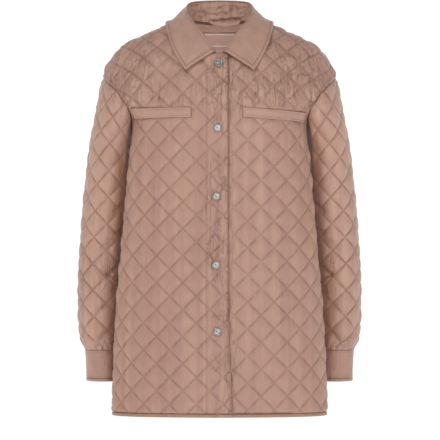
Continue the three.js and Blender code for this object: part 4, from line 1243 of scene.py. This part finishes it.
def add_cuffs():
    shares = -1 + 2 * np.arange(CUFF_AROUND) / CUFF_AROUND
    around = shares * 150
    pieces = [
        ("cuff", CUFF_BOTTOM_Z + CUFF_BINDING, CUFF_TOP_Z + 0.6, 25, 0.9, -2.2, 1.6, "gathered"),
        ("cuff_binding", CUFF_BOTTOM_Z, CUFF_BOTTOM_Z + CUFF_BINDING, 9, 1.4, -2.4, 1.8, "stretched"),
    ]
    for name, bottom, top, rows, out, within, radius, held in pieces:
        heights = bottom + (top - bottom) * eased(rows)
        u, z = np.meshgrid(around, heights)
        border = np.minimum(z - bottom, top - z)
        ripple = ripples(np.abs(u), z, 19, 17, 111) * 0.7
        ripple += ripples(np.abs(u), z, 20, 5, 112) * 0.45
        seam = 0.4 * bell(top - z - 3.2, 1.0) if name == "cuff" else 0
        offset = out + ripple * smooth(border / 8) - seam
        middle = (out + within) / 2
        share = rounded(border, radius)
        outer, normal = cuff_layer(shares, heights, middle + (offset - middle) * share)
        inner, _ = cuff_layer(shares, heights, middle + (within - middle) * share)
        # Painted shade along the rolled edges of the cuff and its binding.
        groove = np.maximum(1 - smooth(border / 1.2), 0).ravel() * 0.9
        triangles = grid_triangles(rows, CUFF_AROUND, closed=True)
        girth = float(sleeve_girth(np.array([(bottom + top) / 2]))[0])
        flat = (metres(girth), max(metres(top - bottom, 4), LEAST_FLAT))
        layers = (outer, inner)
        area = round(girth * (top - bottom) * MM * MM, 5)
        for side, build in (("left", wall), ("right", mirror_wall)):
            obj = build(f"cloth_{name}_{side}", triangles, *layers, PLAIN, groove, flip=True)
            crinkled(obj, np.full(len(groove), 0.45))
            stitches = []
            if name == "cuff":
                turn = np.array([1 if side == "left" else -1, 1, 1])
                runs = []
                for height in (top - 3.2, bottom + 3.4):
                    row = int(np.argmin(np.abs(heights - height)))
                    loop = np.concatenate([outer[row], outer[row][:1]]) * turn
                    runs.append((loop, np.concatenate([normal[row], normal[row][:1]]) * turn))
                stitches = [stitch_run(f"stitches_cuff_{side}", runs)]
            rests = [f"cloth_sleeve_{side}"] if name == "cuff" else [f"cloth_cuff_{side}"]
            declare(obj, f"{name}_{side}", "plain_nylon", flat, held, rests, area=area,
                    with_pieces=stitches)


# Collar
def collar_line(name, share):
    table = smooth_table(COLLAR, share)
    return vec(table[f"{name}_x"], table[f"{name}_y"], table[f"{name}_z"])


def neck_seam(share):
    back = share > 0.6
    f = np.where(back, (1 - share) / 0.4, share / 0.6)
    x = 8 * np.where(back, 0, 1 - f) + 64.4 * np.sin(f * np.pi / 2)
    ratio = x / NECK_HALF_WIDTH
    rear = NECK_BACK_Z + (NECK_SIDE_Z - NECK_BACK_Z - 1) * ratio**2
    front = NECK_FRONT_Z + (NECK_SIDE_Z - NECK_FRONT_Z) * ratio**NECK_FRONT_POWER
    z = np.where(back, rear, front)
    form = smooth_table(BODY, z)
    power = np.where(back, form["power"], FRONT_POWER)
    reach = (1 - np.minimum(x / form["width"], 1) ** power) ** (1 / power)
    depth = np.where(back, form["back"], -form["front"]) * reach
    return vec(x, form["middle"] + depth, z)


def stand_foot(share):
    point = neck_seam(share)
    before = neck_seam(np.maximum(share - 0.01, 0))
    after = neck_seam(np.minimum(share + 0.01, 1))
    outward = body_distance(point)[1]
    inward = unit(np.cross(after - before, outward))
    inward = np.where(inward[..., 2:] < 0, -inward, inward)
    lift = 1.6 * smooth(1 - np.abs(share - 0.6) / 0.2)
    return point + inward * (PLAIN_WALL / 2 + 0.2) + outward * lift[..., None]


def away_from_neck(point):
    return unit(vec(point[..., 0], point[..., 1] + 12, 0))


def stand_at(turn, height):
    along = 1 - np.abs(turn)
    fold = collar_line("fold", along)
    point = stand_foot(along) * (1 - height[..., None]) + fold * height[..., None]
    point -= away_from_neck(fold) * (2.5 * np.sin(np.pi * height))[..., None]
    point[..., 0] *= np.where(turn < 0, -1, 1)
    return point


def fall_at(turn, row):
    along = 1 - np.abs(turn)
    values = smooth_table(FALL, row)
    fold = collar_line("fold", along)
    leaf = values["leaf"][..., None]
    point = fold * (1 - leaf) + collar_line("edge", along) * leaf
    point += away_from_neck(fold) * values["roll"][..., None]
    point[..., 2] += values["lift"]
    near = smooth((72 - np.abs(point[..., 0])) / 24) * smooth((30 - point[..., 1]) / 40)
    rest = COLLAR_REST + (COLLAR_REST_AT_PLACKET - COLLAR_REST) * near
    lifted = pushed_out(point, rest * smooth((row - 0.8) / 1.4))
    point = np.where((row >= 1.5)[..., None], lifted, point)
    point[..., 0] *= np.where(turn < 0, -1, 1)
    return point


def lengths_along(points, axis):
    steps = np.linalg.norm(np.diff(points, axis=axis), axis=-1)
    start = np.zeros_like(np.take(steps, [0], axis=axis))
    return np.concatenate([start, np.cumsum(steps, axis=axis)], axis=axis)


COLLAR_STITCH = 6.4


def add_collar():
    across = 321
    turns = -1 + 2 * eased(across, 0.35)
    rows = 45
    turn, row = np.meshgrid(turns, 6 * eased(rows, 0.6))
    points = fall_at(turn, row)
    normals = grid_normals(points)
    down = lengths_along(points, 0)
    side = lengths_along(points, 1)
    to_edge = down[-1] - down
    to_front = np.minimum(side, side[:, -1:] - side)
    border = np.minimum(to_edge, to_front)
    wide = noise(turn * 7 + NOISE_SHIFT, row * 0.7 + NOISE_SHIFT, 121) * 0.9
    wide = wide + noise(turn * 19 + NOISE_SHIFT, row + NOISE_SHIFT, 122) * 0.4
    bead = 1.0 * np.sin(np.pi * np.clip(border / COLLAR_STITCH, 0, 1)) ** 0.7
    seam = 0.7 * bell(border - COLLAR_STITCH, 1.1)
    pucker = ripples(side, border, 3.4, 5, 123) * 0.22 * bell(border - 4, 5)
    move = wide * smooth(border / 14) * smooth((row - 1.2) / 1.5)
    half = PLAIN_WALL / 2
    share = rounded(border, 1.6)
    outer = raised(points, normals, move + (half + 0.5 + bead + pucker - seam) * share)
    inner = raised(points, normals, move - half * share)
    # Painted shade on the leaf's topstitching, its rolled edges and in a line along the fold.
    groove = np.maximum(0.65 * bell(border - COLLAR_STITCH, 1.1),
                        0.9 * (1 - smooth(border / 1.6)))
    collar_fold_shade = bell(down - 1.0, 1.4) * 0.9
    triangles = grid_triangles(rows, across)
    fall = wall("cloth_collar_fall", triangles, outer, inner,
                PLAIN, np.maximum(groove, collar_fold_shade))
    runs = collar_stitches(outer, normals, to_edge, to_front)
    stitches = stitch_run("stitches_collar", runs)
    fold_length = float(side[0, -1])
    widest = float(side[-1, -1])
    height = float(down[-1].max())
    area = surface_area(points, triangles)
    declare(fall, "collar_fall", "plain_nylon",
            (metres(max(widest, fold_length)), metres(height)), "folded",
            ["cloth_collar_stand"], area=round(area, 5), with_pieces=[stitches])
    add_stand()


def collar_stitches(outer, normals, to_edge, to_front):
    """A line of topstitching at one distance from the leaf's three outer sides."""
    rows = np.arange(outer.shape[0])

    def across_row(column):
        return np.interp(-COLLAR_STITCH, -to_edge[:, column], rows)

    def pick(table, row, column):
        low = int(min(row, len(rows) - 2))
        f = row - low
        return table[low, column] * (1 - f) + table[low + 1, column] * f
    inside = [k for k in range(outer.shape[1])
              if to_front[outer.shape[0] - 6, k] > COLLAR_STITCH]
    path = [(across_row(k), k) for k in inside]
    left, right = inside[0], inside[-1]
    left_rows = [(float(r), left) for r in rows[3:int(path[0][0])]]
    right_rows = [(float(r), right) for r in rows[3:int(path[-1][0])]][::-1]
    whole = left_rows + path + right_rows
    places = np.array([pick(outer, r, k) for r, k in whole])
    ups = np.array([pick(normals, r, k) for r, k in whole])
    return [(places, ups)]


def add_stand():
    across = 241
    rows = 21
    turn, height = np.meshgrid(-1 + 2 * eased(across, 0.3), eased(rows, 0.5))
    points = stand_at(turn, height)
    normals = -grid_normals(points)
    up = lengths_along(points, 0)
    side = lengths_along(points, 1)
    border = np.minimum(np.minimum(up, up[-1] - up), np.minimum(side, side[:, -1:] - side))
    rolls = ripples(side, up, 26, 6, 131) + 0.5 * ripples(side, up, 9, 5, 132)
    pucker = rolls * 2.0 * smooth(border / 5)
    shaded = bell(rolls, 0.2) * smooth(border / 3)
    pucker += ripples(side, up, 6, 9, 133) * 0.6 * smooth(border / 4)
    half = PLAIN_WALL / 2 * rounded(border, 1.2)
    outer = raised(points, normals, half + pucker)
    inner = raised(points, normals, pucker - half)
    # Painted shade on the stand's edges, its seam line and along its rolls.
    groove = 0.9 * (1 - smooth(border / 1.5))
    groove = np.maximum(groove, 0.35 * bell(up - 4.0, 1.0))
    triangles = grid_triangles(rows, across)
    stand = wall("cloth_collar_stand", triangles, outer, inner,
                 PLAIN, np.maximum(groove, shaded), flip=True)
    crinkled(stand, np.full(side.size, 0.7))
    area = surface_area(points, triangles)
    flat = (metres(side.max()), metres(up[-1].max()))
    declare(stand, "collar_stand", "plain_nylon", flat, "hung",
            ["cloth_back", "cloth_front_right", "cloth_front_left"], area=round(area, 5))


# Inside of the back neck
def back_neck_z(s):
    z = np.full_like(s, float(NECK_BACK_Z))
    for _ in range(4):
        ratio = np.abs(body_point(True, s, z)[..., 0]) / NECK_HALF_WIDTH
        z = NECK_BACK_Z + (NECK_SIDE_Z - NECK_BACK_Z - 1) * np.minimum(ratio, 1.1) ** 2
    return z


SPACING = 0.9


def inner_patch(name, s_range, bottom, top_of, seat, thickness, size, material, ripple_size, seed):
    """A cloth patch on the back's inner face; seat is its outer face's place."""
    across, rows = size
    f, g = np.meshgrid(eased(across, 0.5), eased(rows, 0.5))
    s = s_range[0] + (s_range[1] - s_range[0]) * f
    z = bottom + (top_of(s) - bottom) * g
    points, normals = back_surface(s, z)
    wide = s_range[1] - s_range[0]
    tall = top_of(s) - bottom
    border = np.minimum(np.minimum(f, 1 - f) * wide, np.minimum(g, 1 - g) * tall)
    ripple = (ripples(s, z, 16, 12, seed) * ripple_size * smooth(border / 8))
    share = rounded(border, 0.8)
    outer = raised(points, normals, seat - thickness * (1 - share))
    inner = raised(points, normals, seat - thickness + np.minimum(ripple, 0) + 0.2 * (1 - share))
    # Painted shade along the patch's edges.
    groove = 0.9 * (1 - smooth(border / 1.2))
    triangles = grid_triangles(rows, across)
    obj = wall(name, triangles, outer, inner, material,
               groove, flip=True)
    return obj, surface_area(points, triangles), (s, z, seat - thickness)


def inner_lines(name, heights, s_range, seat, width, material):
    """Raised woven lines across the label."""
    vertices = []
    faces = []
    for z0 in heights:
        f, g = np.meshgrid(np.linspace(0, 1, 61), np.linspace(0, 1, 5))
        s = s_range[0] + (s_range[1] - s_range[0]) * f
        z = z0 + width * (g - 0.5)
        points, normals = back_surface(s, z)
        proud = 0.1 + 0.22 * np.sin(np.pi * g)
        top = raised(points, normals, seat - proud)
        under = points + normals * (seat + 0.1)
        triangles = grid_triangles(5, 61)
        rim = rim_edges(triangles)
        base = sum(len(v) for v in vertices)
        count = 5 * 61
        vertices += [top.reshape(-1, 3), under.reshape(-1, 3)]
        faces += (triangles + base).tolist()
        faces += (triangles[:, ::-1] + base + count).tolist()
        faces += (np.stack([rim[:, 1], rim[:, 0], rim[:, 0] + count, rim[:, 1] + count], 1)
                  + base).tolist()
    obj = make_object(name, np.concatenate(vertices), faces, material)
    return obj


def add_neck_inside():
    seat = -WALL - SPACING
    reach = FACING["half_width"]
    obj, area, _ = inner_patch("cloth_back_facing", (-reach, reach), FACING["bottom_z"], back_neck_z,
                               seat, FACING_WALL, (121, 61), FACING_CLOTH, 0.9, 141)
    tall = NECK_SIDE_Z - FACING["bottom_z"] + 4
    declare(obj, "back_facing", "facing_cloth", (2 * reach * MM, metres(tall)), "hung",
            ["cloth_back"], area=round(min(area, 2 * reach * tall * MM * MM), 5))
    label_seat = seat - FACING_WALL - SPACING
    ends = (LABEL["from"], LABEL["to"])
    label, area, _ = inner_patch("cloth_neck_label", ends, LABEL["bottom_z"],
                                 lambda s: np.full_like(s, float(LABEL["top_z"])),
                                 label_seat, LABEL_WALL, (91, 37), LABEL_CLOTH, 0.35, 151)
    lines = inner_lines("label_lines", (LABEL["top_z"] - 3.2, LABEL["bottom_z"] + 3.2),
                        (ends[0] + 2.5, ends[1] - 2.5), label_seat - LABEL_WALL, 1.5, LABEL_LINE)
    flat = ((ends[1] - ends[0]) * MM, (LABEL["top_z"] - LABEL["bottom_z"]) * MM * 1.3)
    declare(label, "neck_label", "label_cloth", flat, "laid", ["cloth_back_facing"],
            area=round(min(area, flat[0] * flat[1]), 5), with_pieces=[lines])


def add_hanger():
    across, rows = 81, 11
    f, g = np.meshgrid(np.linspace(0, 1, across), eased(rows))
    s = HANGER["from"] + (HANGER["to"] - HANGER["from"]) * f
    hang = np.sin(np.pi * f) ** 0.5
    foot_share = 1 - 0.4 * np.arcsin(np.minimum(np.abs(s), 64) / 64.4) / (np.pi / 2)
    y = stand_foot(foot_share)[..., 1] - PLAIN_WALL - 2 - HANGER["reach"] * hang
    z = HANGER["ends_z"] - HANGER["dip"] * hang + HANGER["width"] * (g - 0.5)
    points = vec(s, y, z)
    normals = grid_normals(points)
    border = np.minimum(g, 1 - g) * HANGER["width"]
    share = rounded(border, 1.4)
    seam = 0.25 * bell(border - 1.7, 0.5)
    outer = raised(points, normals, 0.75 * share - seam)
    inner = points - normals * (0.75 * share)[..., None]
    # Painted shade on the loop's edges and its line of stitching.
    groove = np.maximum(0.8 * (1 - smooth(border / 0.9)), 0.4 * bell(border - 1.7, 0.5))
    obj = wall("cloth_hanger_loop", grid_triangles(rows, across), outer, inner, PLAIN, groove)
    length = float(lengths_along(points, 1)[0, -1])
    flat = (metres(length), LEAST_FLAT)
    declare(obj, "hanger_loop", "plain_nylon", flat, "hung", ["cloth_collar_stand"],
            area=round(length * HANGER["width"] * MM * MM, 6))


# Snaps
SNAP_PROFILE = [
    (0.0, 1.25), (0.7, 1.2), (0.9, 1.0), (3.2, 1.1), (4.5, 1.25), (5.0, 1.1), (5.2, 1.5),
    (5.5, 2.2), (6.1, 2.6), (6.7, 2.55), (7.2, 2.1), (7.5, 1.4), (7.4, 0.7), (7.0, 0.1), (0.0, 0.0),
]
SNAP_TURNS = 56


def add_snaps():
    angles = 2 * np.pi * np.arange(SNAP_TURNS) / SNAP_TURNS
    for number, (s, z) in enumerate(SNAPS, 1):
        place, normal = front_surface(np.array([s]), np.array([z]))
        place = place[0]
        normal = normal[0]
        seat = float(placket_lift(np.array([s]))[0]) + SNAP_SEAT + 0.3
        side = unit(np.cross(np.array([0, 0, 1.0]), normal))
        up = np.cross(normal, side)
        vertices = []
        for radius, height in SNAP_PROFILE[1:-1]:
            ring = (place + normal * (seat + height)
                    + side * np.cos(angles)[:, None] * radius + up * np.sin(angles)[:, None] * radius)
            vertices.append(ring)
        vertices.append((place + normal * (seat + SNAP_PROFILE[0][1]))[None, :])
        vertices.append((place + normal * seat)[None, :])
        rings = len(SNAP_PROFILE) - 2
        top = rings * SNAP_TURNS
        faces = []
        for k in range(SNAP_TURNS):
            m = (k + 1) % SNAP_TURNS
            faces.append((top, k, m))
            faces.append((top + 1, (rings - 1) * SNAP_TURNS + m, (rings - 1) * SNAP_TURNS + k))
            for ring in range(rings - 1):
                a = ring * SNAP_TURNS
                b = a + SNAP_TURNS
                faces.append((a + k, b + k, b + m, a + m))
        obj = make_object(f"metal_snap_{number}", np.concatenate(vertices), faces, NICKEL)
        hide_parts(f"snap_{number}")


# Runs of topstitching on the panels
def placket_stitches():
    z = np.linspace(NECK_FRONT_Z - 8, HEM_Z + HEM_BINDING + 3, 420)
    edge_run = front_run(True, placket_edge(z) - 3.2, z, 3.2)
    seam_z = np.linspace(NECK_FRONT_Z - 30, HEM_Z + HEM_BINDING + 3, 420)
    seam_run = front_run(True, np.full_like(seam_z, PLACKET_SEAM), seam_z, 20)
    return stitch_run("stitches_placket", [edge_run, seam_run])


def build_cloth():
    right, right_cut = add_front(True)
    left, left_cut = add_front(False)
    back, back_cut = add_back()
    placket = placket_stitches()
    rests = ["cloth_back", "cloth_collar_stand"]
    declare(right, "front_right", "quilted_nylon", held="hung", rests_on=rests,
            with_pieces=[placket], **right_cut)
    declare(left, "front_left", "quilted_nylon", held="hung", rests_on=rests, **left_cut)
    declare(back, "back", "quilted_nylon", held="hung", rests_on=rests[1:], **back_cut)
    add_welt("right")
    add_welt("left")
    none = np.zeros_like
    full = np.ones_like
    front_reach = seam_arc(False, HEM_Z)
    back_reach = seam_arc(True, HEM_Z)
    add_hem_binding("hem_binding_front_right", False, -front_reach, PLACKET_EDGE_AT_HEM,
                    placket_lift, full, ["cloth_front_right"])
    add_hem_binding("hem_binding_front_left", False, float(UNDERLAP), front_reach, none,
                    lambda s: smooth((s - PLACKET_EDGE_AT_HEM - PLACKET_MARGIN) / 4),
                    ["cloth_front_left"])
    add_hem_binding("hem_binding_back", True, -back_reach, back_reach, none, full, ["cloth_back"])
    add_sleeves()
    add_cuffs()
    add_collar()
    add_neck_inside()
    add_hanger()
    add_snaps()


build_cloth()


# Stage: a pale seamless floor and wall, soft lights and the camera
FLOOR_Z = -0.86
SWEEP_FRONT_Y = -8.5
SWEEP_BACK_Y = 8.5
SWEEP_RADIUS = 1.4
SWEEP_HALF_WIDTH = 8.5
SWEEP_TOP_Z = 6.0


def add_sweep():
    path = [(SWEEP_FRONT_Y, FLOOR_Z), (SWEEP_BACK_Y - SWEEP_RADIUS, FLOOR_Z)]
    for step in range(1, 17):
        angle = math.pi / 2 * step / 16
        path.append((SWEEP_BACK_Y - SWEEP_RADIUS + SWEEP_RADIUS * math.sin(angle),
                     FLOOR_Z + SWEEP_RADIUS * (1 - math.cos(angle))))
    path.append((SWEEP_BACK_Y, SWEEP_TOP_Z))
    vertices = [(x, y, z) for y, z in path for x in (-SWEEP_HALF_WIDTH, SWEEP_HALF_WIDTH)]
    faces = [(2 * k, 2 * k + 1, 2 * k + 3, 2 * k + 2) for k in range(len(path) - 1)]
    mesh = bpy.data.meshes.new("floor")
    mesh.from_pydata(vertices, [], faces)
    mesh.polygons.foreach_set("use_smooth", np.ones(len(mesh.polygons), bool))
    mesh.materials.append(Look("pale_floor").finished({
        "Base Color": (0.92, 0.92, 0.915, 1),
        "Roughness": 0.9,
        "Emission Color": (1, 1, 1, 1),
        "Emission Strength": 0.45,
    }))
    link_object("floor", mesh)


def add_light(name, place, target, width, energy):
    light = bpy.data.lights.new(name, "AREA")
    light.shape = "RECTANGLE"
    light.size = light.size_y = width
    light.energy = energy
    obj = link_object(name, light)
    obj.location = place
    obj.rotation_euler = (Vector(target) - Vector(place)).to_track_quat("-Z", "Y").to_euler()


CAMERA_X = 0.0009
CAMERA_Z = -0.366
CAMERA_DISTANCE = 6.0
CAMERA_LENS = 265.4


def add_camera():
    camera = bpy.data.cameras.new("camera")
    camera.lens = CAMERA_LENS
    camera.sensor_width = 36
    camera.clip_end = 100
    obj = link_object("camera", camera)
    obj.location = (CAMERA_X, -CAMERA_DISTANCE, CAMERA_Z)
    obj.rotation_euler = (math.pi / 2, 0, 0)
    bpy.context.scene.camera = obj


def add_world():
    world = bpy.data.worlds.new("studio")
    world.use_nodes = True
    background = world.node_tree.nodes["Background"]
    background.inputs["Color"].default_value = (1, 1, 1, 1)
    background.inputs["Strength"].default_value = 0.48
    bpy.context.scene.world = world
    bpy.context.scene.view_settings.view_transform = "Standard"


MIDDLE = (0, 0, -0.36)
# Each light's name, place, target, width and power
LIGHTS = [
    ("key", (-1.5, -2.4, 2.6), MIDDLE, 0.7, 31),
    ("fill", (2.6, -2.4, 0.2), MIDDLE, 1.8, 7),
    ("front", (0.9, -5.2, 0.5), MIDDLE, 1.6, 44),
    ("neck", (0.0, -0.045, -0.115), (0.0, 0.08, -0.02), 0.05, 0.12),
]
add_sweep()
for light_row in LIGHTS:
    add_light(*light_row)
add_world()
add_camera()
